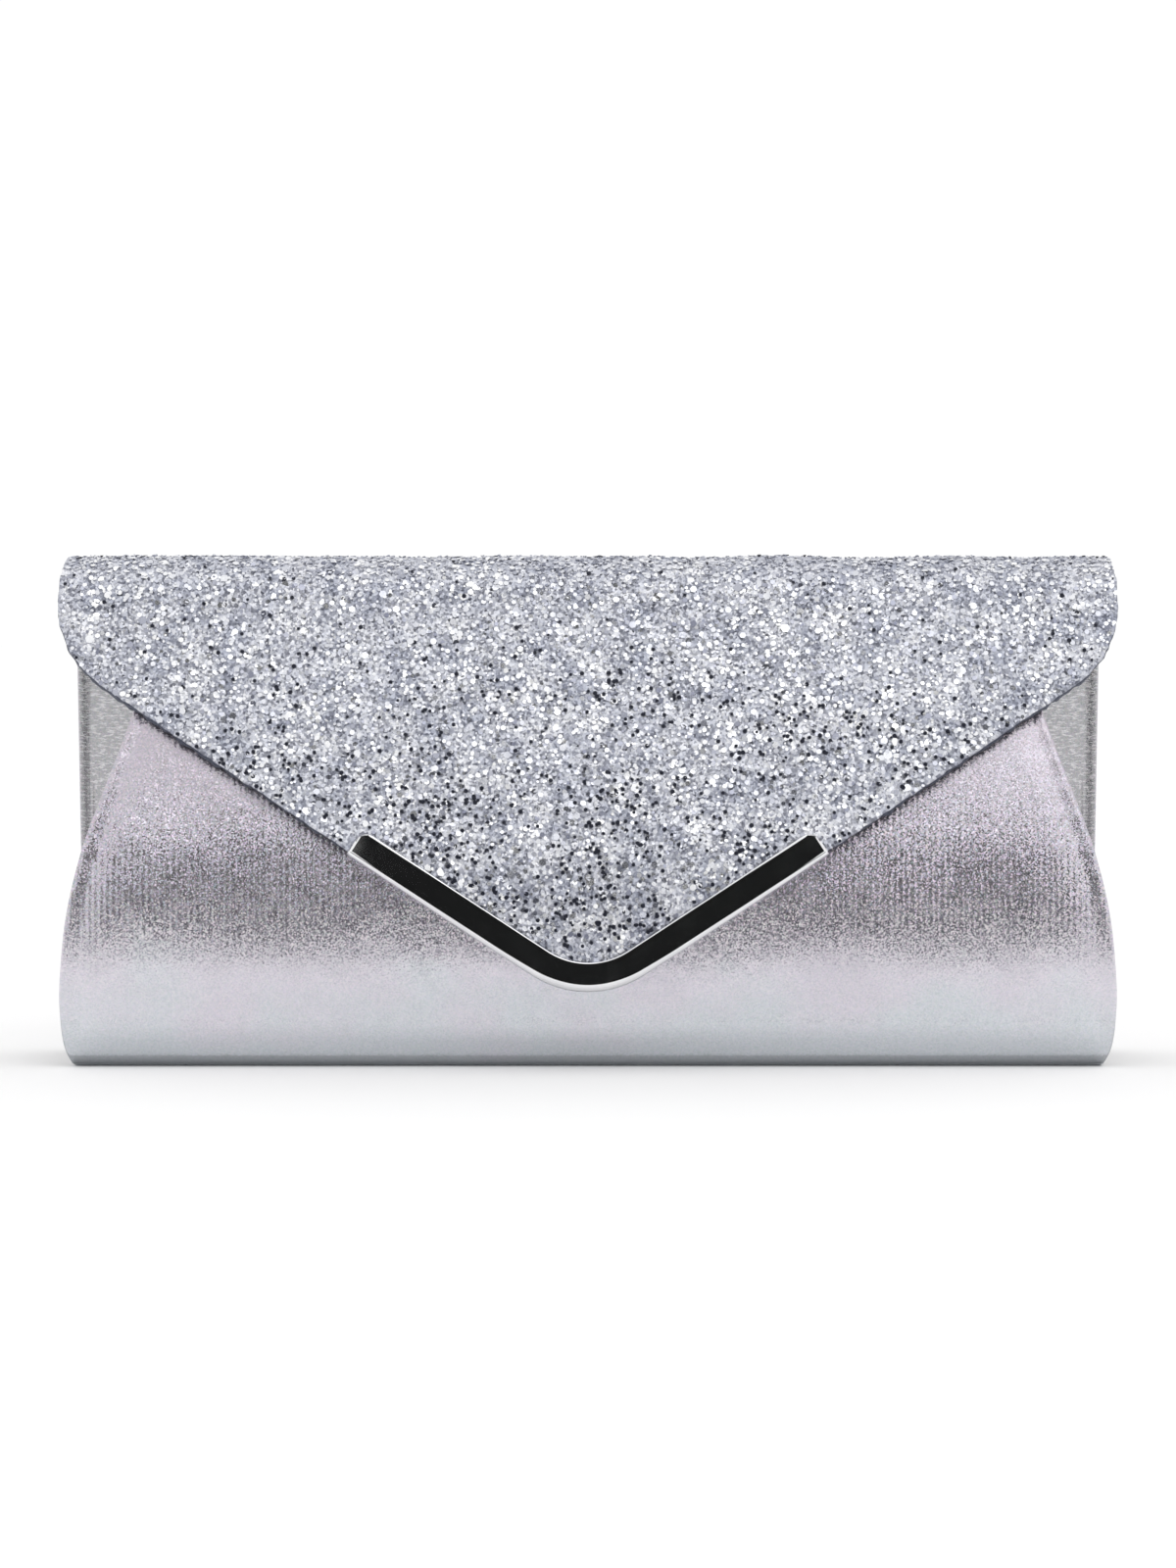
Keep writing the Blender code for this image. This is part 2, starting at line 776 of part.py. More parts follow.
def add_tab(side, name):
    """A strap of fabric from the mouth's seam down to the ring, and round its bar."""
    loop_steps = 14
    path = [
        Vector((RING_Y + TAB_LOOP_RADIUS, TAB_TOP_Z)),
        Vector((RING_Y + TAB_LOOP_RADIUS, (TAB_TOP_Z + RING_Z) / 2)),
    ]
    for k in range(loop_steps + 1):
        angle = TAB_LOOP_TURN * k / loop_steps
        path.append(
            Vector(
                (
                    RING_Y + TAB_LOOP_RADIUS * math.cos(angle),
                    RING_Z - TAB_LOOP_RADIUS * math.sin(angle),
                )
            )
        )
    add_sheet(
        f"ring_tab_{name}",
        path,
        -TAB_THICKNESS / 2,
        TAB_THICKNESS,
        constant(TAB_HALF_WIDTH),
        SILVER_FABRIC,
        middle_x=side * RING_X,
    )


# Moving bodies, each on an empty at its hinge.

FLAP_PARTS = [
    "flap_cover",
    "flap_board",
    "flap_lining",
    "flap_edge_trim",
    "snap_stud",
    "snap_stud_washer",
]
FRONT_PARTS = [
    "front_panel",
    "front_board",
    "front_lining",
    "mouth_binding",
    "gusset_left_front",
    "gusset_right_front",
    "snap_socket",
    "snap_socket_washer",
]


def hang_on_hinge(name, pivot, parts):
    hinge = bpy.data.objects.new(name, None)
    hinge.location = pivot
    bpy.context.scene.collection.objects.link(hinge)
    for part_name in parts:
        part = bpy.data.objects[part_name]
        part.parent = hinge
        part.location -= Vector(pivot)


def main():
    for old in list(bpy.data.objects):
        bpy.data.objects.remove(old)
    add_shell()
    add_pocket()
    add_front()
    add_flap()
    add_trim()
    add_snap()
    for side, name in ((-1, "left"), (1, "right")):
        add_gusset(side, name)
        add_ring(side, name)
        add_tab(side, name)
    hang_on_hinge("flap_hinge", FLAP_HINGE, FLAP_PARTS)
    hang_on_hinge("front_hinge", (0, FRONT_SEAM_Y, FRONT_SEAM_Z), FRONT_PARTS)


main()
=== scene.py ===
"""Looks of the envelope evening bag: fabric shell, glitter flap, metal edge, lining, snap and strap rings.

Everything is in metres in the bag's own frame: +X to its right, +Y to its back, +Z up, origin in the base.
Each fabric piece is a sheet laid on the section of its CAD solid. Texture coordinates are metres of cloth.
"""

import math

import bmesh
import bpy
import numpy as np
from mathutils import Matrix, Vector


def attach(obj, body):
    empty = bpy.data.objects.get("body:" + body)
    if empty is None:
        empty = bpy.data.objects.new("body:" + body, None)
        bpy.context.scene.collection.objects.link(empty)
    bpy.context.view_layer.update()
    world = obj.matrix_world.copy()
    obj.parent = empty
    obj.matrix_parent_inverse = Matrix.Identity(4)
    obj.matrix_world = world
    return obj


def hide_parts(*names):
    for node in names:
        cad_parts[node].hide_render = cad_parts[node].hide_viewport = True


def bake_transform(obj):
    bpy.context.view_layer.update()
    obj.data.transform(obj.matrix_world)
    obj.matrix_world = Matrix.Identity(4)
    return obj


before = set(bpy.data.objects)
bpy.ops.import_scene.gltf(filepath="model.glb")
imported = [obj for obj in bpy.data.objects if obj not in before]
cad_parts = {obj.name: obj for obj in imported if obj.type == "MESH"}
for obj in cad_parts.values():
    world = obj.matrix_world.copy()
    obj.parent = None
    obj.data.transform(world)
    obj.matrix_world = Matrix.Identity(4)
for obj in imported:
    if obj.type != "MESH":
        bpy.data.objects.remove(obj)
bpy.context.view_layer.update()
MM = 0.001
BAG_CENTRE = (0.0, 0.0, 55 * MM)


# The bag's sections, the same as the CAD's. The tables are in millimetres.

FABRIC = 0.9 * MM
LINING = 0.6 * MM
LINING_INSET = 2.7 * MM
WALL = LINING_INSET + LINING
BASE_FRONT_Y = -16 * MM
BASE_BACK_Y = 17 * MM
BACK_CORNER = 5 * MM
BACK_TOP_Y = 8 * MM
BACK_TOP_Z = 112 * MM
BACK_HALF_WIDTH = 122.5 * MM
BASE_WIDEST_Z = 12 * MM
FRONT_SEAM_Z = 12 * MM
FRONT_SEAM_Y = -24 * MM
FRONT_TOP_Z = 108 * MM
UNDER_SEAM_Y = -13 * MM

# (y, z) up the front's outer face, (height, half width) of the base and front, and of the compartment.
FRONT_SECTION = [
    (-24.0, 12), (-25.6, 25), (-26.0, 38), (-25.0, 50), (-23.0, 60),
    (-19.9, 72), (-16.3, 84), (-12.4, 96), (-8.2, 108),
]
SIDE_OUTLINE = [
    (0, 121.0), (5, 122.7), (12, 123.5), (20, 123.5), (36, 121.8),
    (52, 118.0), (66, 113.0), (82, 107.3), (108, 98.5),
]
INNER_OUTLINE = [(5, 118.5), (112, 107)]

# (y, z) of the glitter cloth's outer face, from the fold's back over the top and down the front.
FLAP_SECTION = [
    (9.1, 112.4), (8.1, 116.0), (5.0, 119.0), (0.3, 120.1), (-4.6, 119.0), (-8.6, 116.3),
    (-11.0, 112.4), (-12.2, 108), (-16.5, 96), (-20.9, 84), (-25.0, 72), (-28.7, 60),
    (-31.4, 51), (-32.5, 43), (-32.6, 34), (-32.6, 25), (-32.5, 17),
]
FLAP_COVER = 0.8 * MM
FLAP = 3.0 * MM
FLAP_ROW = 0.95 * MM
FLAP_HALF_WIDTH = 126.05 * MM
FLAP_FOLD_HALF_WIDTH = 123.5 * MM
FLAP_CORNER_RADIUS = 25 * MM
FLAP_SLOPE = math.radians(33.2)
FLAP_SINE, FLAP_COSINE = math.sin(FLAP_SLOPE), math.cos(FLAP_SLOPE)
FLAP_TIP_Z = 18.7 * MM
FLAP_TIP_RADIUS = 24 * MM
FLAP_TIP_CENTRE_Z = FLAP_TIP_Z + FLAP_TIP_RADIUS
FLAP_EDGE = 1.05 * MM
FLAP_NARROWS_Z = 107 * MM
FLAP_NARROWING = 13.1 * MM
ANCHOR_FOOT_Z = 97 * MM
ANCHOR_STAND = 1.1 * MM

TRIM_WALL = 0.7 * MM
TRIM_GAP = 0.35 * MM
TRIM_FACE = 7.0 * MM
TRIM_END_X = 56.2 * MM
TRIM_CORNER = 3.0 * MM

GUSSET = 0.8 * MM
GUSSET_FLANGE = 2.4 * MM
GUSSET_FLANGE_DEPTH = 2.6 * MM
GUSSET_COLUMNS = 57
GUSSET_TOP_Z = 104 * MM
CREASE_FOOT_X = 121.3 * MM
CREASE_TOP_X = 90 * MM
CREASE_TURNED_Z = 42 * MM

SNAP_Z = 38 * MM
RING_X = 78 * MM
RING_Y = 2.6 * MM
RING_Z = 103 * MM
RING_WIRE = 0.9 * MM
RING_HALF_WIDTH = 6.9 * MM
RING_DROP = 7.6 * MM
STRAP = 0.6 * MM
STRAP_HALF_WIDTH = 4.2 * MM
STRAP_LOOP_RADIUS = 1.6 * MM
STRAP_TOP_Z = 111 * MM
STRAP_ROW = 0.4 * MM


# Curves.


def smooth_curve(points, steps=12):
    """Catmull-Rom curve in metres through points in millimetres."""
    p = np.array(points, float) * MM
    p = np.vstack([2 * p[0] - p[1], p, 2 * p[-1] - p[-2]])
    t = np.arange(steps)[:, None] / steps
    parts = []
    for before, start, end, after in zip(p, p[1:], p[2:], p[3:]):
        bend = (2 * before - 5 * start + 4 * end - after) * t**2 / 2
        twist = (3 * start - before - 3 * end + after) * t**3 / 2
        parts.append(start + (end - before) * t / 2 + bend + twist)
    return np.vstack(parts + [p[-2:-1]])


def lengths(path):
    """Distance along a line at each of its points."""
    return np.concatenate([[0], np.cumsum(np.linalg.norm(np.diff(path, axis=0), axis=1))])


def points_at(path, along, at):
    """Points of a line at distances along it, where along holds the distances of its own points."""
    return np.stack([np.interp(at, along, path[:, k]) for k in range(path.shape[1])], 1)


def resample(path, spacing):
    """The same line with evenly spaced points."""
    path = np.array(path, float)
    along = lengths(path)
    count = max(2, int(round(along[-1] / spacing)) + 1)
    return points_at(path, along, np.linspace(0, along[-1], count))


def smoothed(line, times):
    """The line with each inner point averaged with its neighbours."""
    line = np.array(line)
    for _ in range(times):
        line[1:-1] = (line[:-2] + 2 * line[1:-1] + line[2:]) / 4
    return line


def normals_2d(path):
    """Unit normals of a Y-Z path, to the left of its direction."""
    d = np.gradient(path, axis=0)
    n = np.stack([-d[:, 1], d[:, 0]], 1)
    return n / np.linalg.norm(n, axis=1, keepdims=True)


def ease(x, low, high):
    """0 at low, 1 at high, smooth between."""
    t = np.clip((x - low) / (high - low), 0, 1)
    return t * t * (3 - 2 * t)


def undulation(a, b, wavelength, seed):
    """Smooth noise of about -1 to 1, from crossed waves."""
    rng = np.random.default_rng(seed)
    total = 0.0
    for _ in range(9):
        turn, phase = rng.uniform(0, math.pi), rng.uniform(0, 2 * math.pi)
        length = wavelength * rng.uniform(0.7, 1.5)
        across = a * math.cos(turn) + b * math.sin(turn)
        total = total + np.sin(across * 2 * math.pi / length + phase)
    return total / 4


FRONT_CURVE = smooth_curve(FRONT_SECTION)
SIDE_CURVE = smooth_curve(SIDE_OUTLINE)
INNER_CURVE = np.array(INNER_OUTLINE) * MM
FLAP_CURVE = smooth_curve(FLAP_SECTION)
FLAP_CREST = int(np.argmax(FLAP_CURVE[:, 1]))
FRONT_OF_CREST = 30
FLAP_FRONT = FLAP_CURVE[FLAP_CREST + FRONT_OF_CREST :][::-1]


def front_y(z):
    """The front's outer face by height."""
    z = np.asarray(z, float)
    foot = np.clip(1 - z / FRONT_SEAM_Z, 0, 1)
    low = BASE_FRONT_Y + (FRONT_SEAM_Y - BASE_FRONT_Y) * np.sqrt(1 - foot**2)
    high = np.interp(z, FRONT_CURVE[:, 1], FRONT_CURVE[:, 0])
    return np.where(z < FRONT_SEAM_Z, low, high)


def back_y(z):
    """The back's outer face by height."""
    foot = np.clip(1 - np.asarray(z, float) / BACK_CORNER, 0, 1)
    low = BASE_BACK_Y + BACK_CORNER * np.sqrt(1 - foot**2)
    share = (z - BACK_CORNER) / (BACK_TOP_Z - BACK_CORNER)
    foot_y = BASE_BACK_Y + BACK_CORNER
    return np.where(z < BACK_CORNER, low, foot_y + (BACK_TOP_Y - foot_y) * share)


def side_x(z):
    """Half width of the base and front by height."""
    return np.interp(z, SIDE_CURVE[:, 0], SIDE_CURVE[:, 1])


def back_half_width(z):
    """Half width of the back, which keeps the base's outline at its foot."""
    return min(float(side_x(min(z, BASE_WIDEST_Z))), BACK_HALF_WIDTH)


def inner_x(z):
    return np.interp(z, INNER_CURVE[:, 0], INNER_CURVE[:, 1])


def flap_y(z):
    """The flap's outer face by height, down its front."""
    return np.interp(z, FLAP_FRONT[:, 1], FLAP_FRONT[:, 0])


def flap_half_width(z, inset):
    """Half width of the flap's front, with its rounded tip and upper corners."""
    radius = FLAP_TIP_RADIUS - inset
    tangent_x, tangent_z = radius * FLAP_SINE, FLAP_TIP_CENTRE_Z - radius * FLAP_COSINE
    if z <= tangent_z:
        return math.sqrt(max(0.0, radius**2 - (FLAP_TIP_CENTRE_Z - z) ** 2))
    widest, corner = FLAP_HALF_WIDTH - inset, FLAP_CORNER_RADIUS - inset
    corner_x = widest - corner * (1 - FLAP_SINE)
    slope_z = tangent_z + (corner_x - tangent_x) * FLAP_SINE / FLAP_COSINE
    if z <= slope_z:
        return tangent_x + (z - tangent_z) * FLAP_COSINE / FLAP_SINE
    corner_z = slope_z + corner * FLAP_COSINE
    if z <= corner_z:
        return widest - corner + math.sqrt(corner**2 - (corner_z - z) ** 2)
    return widest


def back_path(count, end_y, spacing):
    """Line of the outer face down the back, round its corner and along under the base."""
    back = [(float(back_y(z)), z) for z in np.linspace(BACK_TOP_Z, BACK_CORNER, count)]
    corner = [
        (BASE_BACK_Y + BACK_CORNER * math.sin(a), BACK_CORNER * (1 - math.cos(a)))
        for a in np.linspace(math.pi / 2, 0, 10)[1:]
    ]
    return resample(back + corner + [(end_y, 0.0)], spacing)


def front_path(count, start_y, spacing):
    """Line of the outer face from under the base up the front to the mouth."""
    depth = FRONT_SEAM_Y - BASE_FRONT_Y
    foot = [
        (BASE_FRONT_Y + depth * math.sin(a), FRONT_SEAM_Z * (1 - math.cos(a)))
        for a in np.linspace(0, math.pi / 2, count)
    ]
    return resample([(start_y, 0.0)] + foot + [tuple(q) for q in FRONT_CURVE[1:]], spacing)


# Mesh building.


def link(piece):
    bpy.context.scene.collection.objects.link(piece)
    return piece


def make_object(name, vertices, faces, uv, material, smooth=True):
    mesh = bpy.data.meshes.new(name)
    mesh.from_pydata([tuple(v) for v in np.asarray(vertices, float)], [], faces)
    layer = mesh.uv_layers.new(name="cloth")
    index = np.zeros(len(mesh.loops), np.int32)
    mesh.loops.foreach_get("vertex_index", index)
    layer.data.foreach_set("uv", np.asarray(uv, np.float32)[index].ravel())
    mesh.validate()
    mesh.materials.append(material)
    if smooth:
        mesh.shade_smooth()
    return link(bpy.data.objects.new(name, mesh))


def face_outward(piece, sharp_from=None):
    """Turns a closed piece's faces outwards, and marks the edges that are bent by more than an angle."""
    work = bmesh.new()
    work.from_mesh(piece.data)
    bmesh.ops.remove_doubles(work, verts=work.verts, dist=1e-7)
    bmesh.ops.recalc_face_normals(work, faces=work.faces)
    work.to_mesh(piece.data)
    work.free()
    if sharp_from is not None:
        piece.data.set_sharp_from_angle(angle=math.radians(sharp_from))


def lofted(rings, size, closed=False):
    """Faces between rings of points that are numbered one after the other, with end caps unless closed."""
    faces = []
    for i in range(rings if closed else rings - 1):
        a, b = i * size, (i + 1) % rings * size
        for k in range(size):
            m = (k + 1) % size
            faces.append((a + k, a + m, b + m, b + k))
    if not closed:
        faces.append(tuple(range(size))[::-1])
        faces.append(tuple((rings - 1) * size + k for k in range(size)))
    return faces


def grid_normals(p):
    n = np.cross(np.gradient(p, axis=1), np.gradient(p, axis=0))
    return n / np.maximum(np.linalg.norm(n, axis=2, keepdims=True), 1e-12)


def outward_normals(p, inside_out=False, centre=BAG_CENTRE):
    """Normals of a grid of points, away from the centre, or towards it if inside out."""
    n = grid_normals(p)
    away = float((n * (p - np.array(centre))).sum())
    return n if (away > 0) != inside_out else -n


def border(rows, columns):
    """Grid indices once round the edge, and back to just before the start."""
    top = [(0, j) for j in range(columns)]
    right = [(i, columns - 1) for i in range(1, rows)]
    bottom = [(rows - 1, j) for j in range(columns - 2, -1, -1)]
    left = [(i, 0) for i in range(rows - 2, 0, -1)]
    return top + right + bottom + left


def rim_layers(p, n, thickness, ri, ci, steps):
    """Points of a half round rim past the grid's border, without the layers on its two faces."""
    rows, columns = p.shape[:2]
    edge, edge_n = p[ri, ci], n[ri, ci]
    out = np.cross(np.roll(edge, -1, axis=0) - np.roll(edge, 1, axis=0), edge_n)
    out /= np.maximum(np.linalg.norm(out, axis=1, keepdims=True), 1e-12)
    inward = p[np.clip(ri, 1, rows - 2), np.clip(ci, 1, columns - 2)] - edge
    flip = np.sign((out * inward).sum(axis=1))
    out *= -np.where(flip == 0, 1, flip)[:, None]
    half = thickness / 2
    turns = [math.pi * k / steps for k in range(1, steps)]
    return [edge + out * (half * math.sin(a)) - edge_n * (half * (1 - math.cos(a))) for a in turns]


def cloth(name, p, thickness, n, material, uv, rim_steps=4):
    """A closed sheet behind a grid of face points [rows, columns, 3] and their normals."""
    rows, columns = p.shape[:2]
    count = rows * columns
    ring = border(rows, columns)
    ri, ci = np.array(ring).T
    rim = rim_layers(p, n, thickness, ri, ci, rim_steps)
    vertices = [p.reshape(-1, 3), (p - n * thickness).reshape(-1, 3)] + rim
    uvs = [uv.reshape(-1, 2), uv.reshape(-1, 2)] + [uv[ri, ci]] * len(rim)

    def at(i, j):
        return i * columns + j

    faces = []
    for i in range(rows - 1):
        for j in range(columns - 1):
            quad = (at(i, j), at(i, j + 1), at(i + 1, j + 1), at(i + 1, j))
            faces.append(quad)
            faces.append(tuple(q + count for q in quad[::-1]))
    size = len(ring)
    loops = [[at(i, j) for i, j in ring]]
    for k in range(len(rim)):
        start = 2 * count + k * size
        loops.append(list(range(start, start + size)))
    loops.append([at(i, j) + count for i, j in ring])
    for first, second in zip(loops, loops[1:]):
        for k in range(size):
            m = (k + 1) % size
            faces.append((first[m], first[k], second[k], second[m]))
    piece = make_object(name, np.vstack(vertices), faces, np.vstack(uvs), material)
    face_outward(piece)
    return piece


def raised(path, x, lift):
    """Grid of points across a Y-Z path whose inside is on its left, lifted outwards."""
    p = np.zeros((*x.shape, 3))
    p[:, :, 0] = x
    p[:, :, 1:] = path[:, None] - normals_2d(path)[:, None] * lift[:, :, None]
    return p


def wall_grid(path, half_width, columns, bulge):
    """Outer points and texture places of a wall. Bulge is (x, length down, z, from edge) to metres out."""
    w = np.array([half_width(z) for z in path[:, 1]])[:, None]
    x = w * np.linspace(-1, 1, columns)
    v = np.broadcast_to(lengths(path)[:, None], x.shape)
    z = np.broadcast_to(path[:, 1:], x.shape)
    return raised(path, x, bulge(x, v, z, w - np.abs(x))), np.stack([x, v], 2)


def turned(name, section, centre, segments=48):
    """A solid turned about an axis along Y. The section is (radius, distance towards -Y)."""
    vertices, rows, faces = [], [], []
    for radius, out in section:
        y = centre[1] - out
        if radius == 0:
            rows.append([len(vertices)] * segments)
            vertices.append((centre[0], y, centre[2]))
            continue
        rows.append(list(range(len(vertices), len(vertices) + segments)))
        for k in range(segments):
            a = 2 * math.pi * k / segments
            vertices.append((centre[0] + radius * math.cos(a), y, centre[2] + radius * math.sin(a)))
    for first, second in zip(rows, rows[1:] + rows[:1]):
        for k in range(segments):
            m = (k + 1) % segments
            corners = list(dict.fromkeys((first[k], first[m], second[m], second[k])))
            if len(corners) > 2:
                faces.append(corners)
    piece = make_object(name, vertices, faces, [(v[0], v[2]) for v in vertices], NICKEL)
    face_outward(piece, sharp_from=40)
    return piece


TAPERED_RINGS = 2


def tube(path, radius, sides, closed=False):
    """Vertices and faces of a round tube. Open tubes taper to a point over their last rings."""
    path = np.asarray(path, float)
    count = len(path)
    if closed:
        d = np.roll(path, -1, axis=0) - np.roll(path, 1, axis=0)
    else:
        d = np.gradient(path, axis=0)
    d /= np.linalg.norm(d, axis=1, keepdims=True)
    guide = np.array([1.0, 0, 0]) if abs(d[0][0]) < 0.8 else np.array([0, 0, 1.0])
    vertices = []
    for i in range(count):
        across = guide - d[i] * guide.dot(d[i])
        across /= np.linalg.norm(across)
        guide = across
        other = np.cross(d[i], across)
        from_end = min(i, count - 1 - i)
        scale = 1.0
        if not closed and from_end < TAPERED_RINGS:
            scale = math.sin(math.pi / 2 * (from_end + 0.35) / (TAPERED_RINGS + 0.35))
        for k in range(sides):
            a = 2 * math.pi * k / sides
            vertices.append(path[i] + (across * math.cos(a) + other * math.sin(a)) * radius * scale)
    return vertices, lofted(count, sides, closed)


def stitches(name, lines, pitch=3.0 * MM, gap=0.9 * MM, radius=0.2 * MM):
    """Rows of sewn stitches. A line is its points [n, 3] and the direction out of the cloth."""
    vertices, faces, uv = [], [], []
    arch = np.sin(np.linspace(0, math.pi, 7)) * 1.5 - 0.75
    for points, outward in lines:
        along = lengths(points)
        count = int(along[-1] / pitch)
        lift = np.array(outward, float) * (arch * radius)[:, None]
        for s in range(count):
            start = (along[-1] - count * pitch) / 2 + s * pitch + gap / 2
            at = np.linspace(start, start + pitch - gap, len(arch))
            made, quads = tube(points_at(points, along, at) + lift, radius, 6)
            faces += [tuple(q + len(vertices) for q in quad) for quad in quads]
            vertices += made
            uv += [(a, k * radius) for a in at for k in range(6)]
    return make_object(name, vertices, faces, uv, THREAD)


# Materials.

# Stops are (position, colour). The fabric's positions are shares of the way down from the mouth to the foot.
FRONT_LENGTH = 0.12
# Painted light: the front's and back's tints get darker near the mouth and lighter low down, which copies
# how light falls on the fabric. The lilac silver underneath is the fabric's own colour.
LILAC_TO_COOL_PAINTED_LIGHT = [
    (0.20, (0.51, 0.47, 0.52)),
    (0.54, (0.60, 0.57, 0.63)),
    (0.84, (0.715, 0.69, 0.75)),
    (0.96, (0.68, 0.71, 0.745)),
]
GREYS = [(0.20, (0.39, 0.38, 0.395)), (0.50, (0.41, 0.40, 0.42)), (0.80, (0.42, 0.42, 0.435))]
# Grain strength down the front is strongest in the band where the front reflects the dark card. The extra
# grain contrast and slight darkening there are painted reflection over the real grain.
GRAIN_AT_DARK_REFLECTION = [(0.30, 0.55), (0.46, 1.0), (0.60, 1.0), (0.72, 0.38)]
EVEN_GRAIN = [(0.0, 0.6), (1.0, 0.6)]
GRAIN_GLINT = [
    (0.0, (0.55, 0.54, 0.54)),
    (0.45, (0.95, 0.95, 0.96)),
    (0.8, (1.1, 1.06, 1.1)),
    (1.0, (1.35, 1.3, 1.3)),
]
GLITTER_GREYS = [
    (0.0, (0.24, 0.245, 0.285)),
    (0.3, (0.50, 0.51, 0.575)),
    (0.65, (0.75, 0.76, 0.81)),
    (1.0, (0.95, 0.95, 0.97)),
]
FILM_LOTS = [
    (0.0, (0.93, 0.935, 0.95)),
    (0.30, (0.74, 0.75, 0.79)),
    (0.56, (0.48, 0.49, 0.55)),
    (0.72, (0.28, 0.29, 0.35)),
    (0.78, (1.0, 1.0, 1.0)),
]


# Width of the wave texture's own bands, at a scale of 1.
WAVE_BAND = 0.314159


def grey_stops(*stops):
    return [(at, (value, value, value)) for at, value in stops]


class Look:
    """A material's nodes, with short names for the ones used here."""

    def __init__(self, name, by_uv=True):
        self.material = bpy.data.materials.new(name)
        self.material.use_nodes = True
        self.tree = self.material.node_tree
        self.shader = self.tree.nodes["Principled BSDF"]
        self.place = self.node("TexCoord").outputs["UV" if by_uv else "Object"]

    def node(self, kind, values=None, **settings):
        made = self.tree.nodes.new("ShaderNode" + kind)
        for key, value in settings.items():
            setattr(made, key, value)
        for key, value in (values or {}).items():
            self.put(made.inputs[key], value)
        return made

    def put(self, socket, value):
        if isinstance(value, bpy.types.NodeSocket):
            self.tree.links.new(value, socket)
        else:
            socket.default_value = value

    def set(self, **values):
        for key, value in values.items():
            self.put(self.shader.inputs[key.replace("_", " ")], value)

    def scaled(self, across, down=None, turn=0.0):
        scale = (across, across if down is None else down, across)
        values = {"Vector": self.place, "Scale": scale, "Rotation": (0, 0, turn)}
        return self.node("Mapping", values).outputs["Vector"]

    def noise(self, size, detail=2.0, stretch=1.0, rough=0.5):
        """Noise whose features are about that many metres across."""
        where = self.scaled(1 / size, 1 / (size * stretch))
        values = {"Vector": where, "Scale": 1.0, "Detail": detail, "Roughness": rough}
        return self.node("TexNoise", values).outputs["Fac"]

    def cells(self, size):
        return self.node("TexVoronoi", {"Vector": self.scaled(1 / size), "Scale": 1.0})

    def stripes(self, period, turn=0.0, wobble=0.0):
        """Soft bands that repeat once a period."""
        values = {"Vector": self.scaled(1 / period, turn=turn), "Scale": WAVE_BAND}
        values.update({"Distortion": wobble, "Detail": 1.0, "Detail Scale": 1.5})
        return self.node("TexWave", values).outputs["Fac"]

    def remap(self, value, low, high, to_low=0.0, to_high=1.0):
        values = {"Value": value, "From Min": low, "From Max": high, "To Min": to_low, "To Max": to_high}
        return self.node("MapRange", values).outputs["Result"]

    def math(self, operation, *values):
        made = self.node("Math", operation=operation)
        for socket, value in zip(made.inputs, values):
            self.put(socket, value)
        return made.outputs["Value"]

    def vector(self, operation, *values):
        made = self.node("VectorMath", operation=operation)
        for socket, value in zip(made.inputs, values):
            self.put(socket, value)
        return made.outputs["Vector"]

    def ramp(self, value, stops, interpolation="LINEAR"):
        made = self.node("ValToRGB", {"Fac": value})
        ramp = made.color_ramp
        ramp.interpolation = interpolation
        while len(ramp.elements) < len(stops):
            ramp.elements.new(0.5)
        for element, (at, colour) in zip(ramp.elements, stops):
            element.position = at
            element.color = (*colour, 1)
        return made.outputs["Color"]

    def mix(self, share, a, b, blend="MIX"):
        made = self.node("Mix", data_type="RGBA", blend_type=blend)
        self.put(made.inputs[0], share)
        for k, colour in ((6, a), (7, b)):
            self.put(made.inputs[k], colour if isinstance(colour, bpy.types.NodeSocket) else (*colour, 1))
        return made.outputs[2]

    def bump(self, height, distance, strength=1.0, under=None):
        values = {"Height": height, "Distance": distance, "Strength": strength}
        if under is not None:
            values["Normal"] = under
        return self.node("Bump", values).outputs["Normal"]

    def red(self, cells):
        """A different share from 0 to 1 in each cell."""
        return self.node("SeparateColor", {"Color": cells.outputs["Color"]}).outputs["Red"]

    def tilted(self, *layers):
        """The surface's normal, tipped at random in each cell. Layers are (cells, how far they tip)."""
        normal = self.node("NewGeometry").outputs["Normal"]
        for cells, reach in layers:
            centred = self.vector("SUBTRACT", cells.outputs["Color"], (0.5, 0.5, 0.5))
            tipped = self.vector("MULTIPLY_ADD", centred, reach, normal)
            normal = self.vector("NORMALIZE", tipped)
        return normal


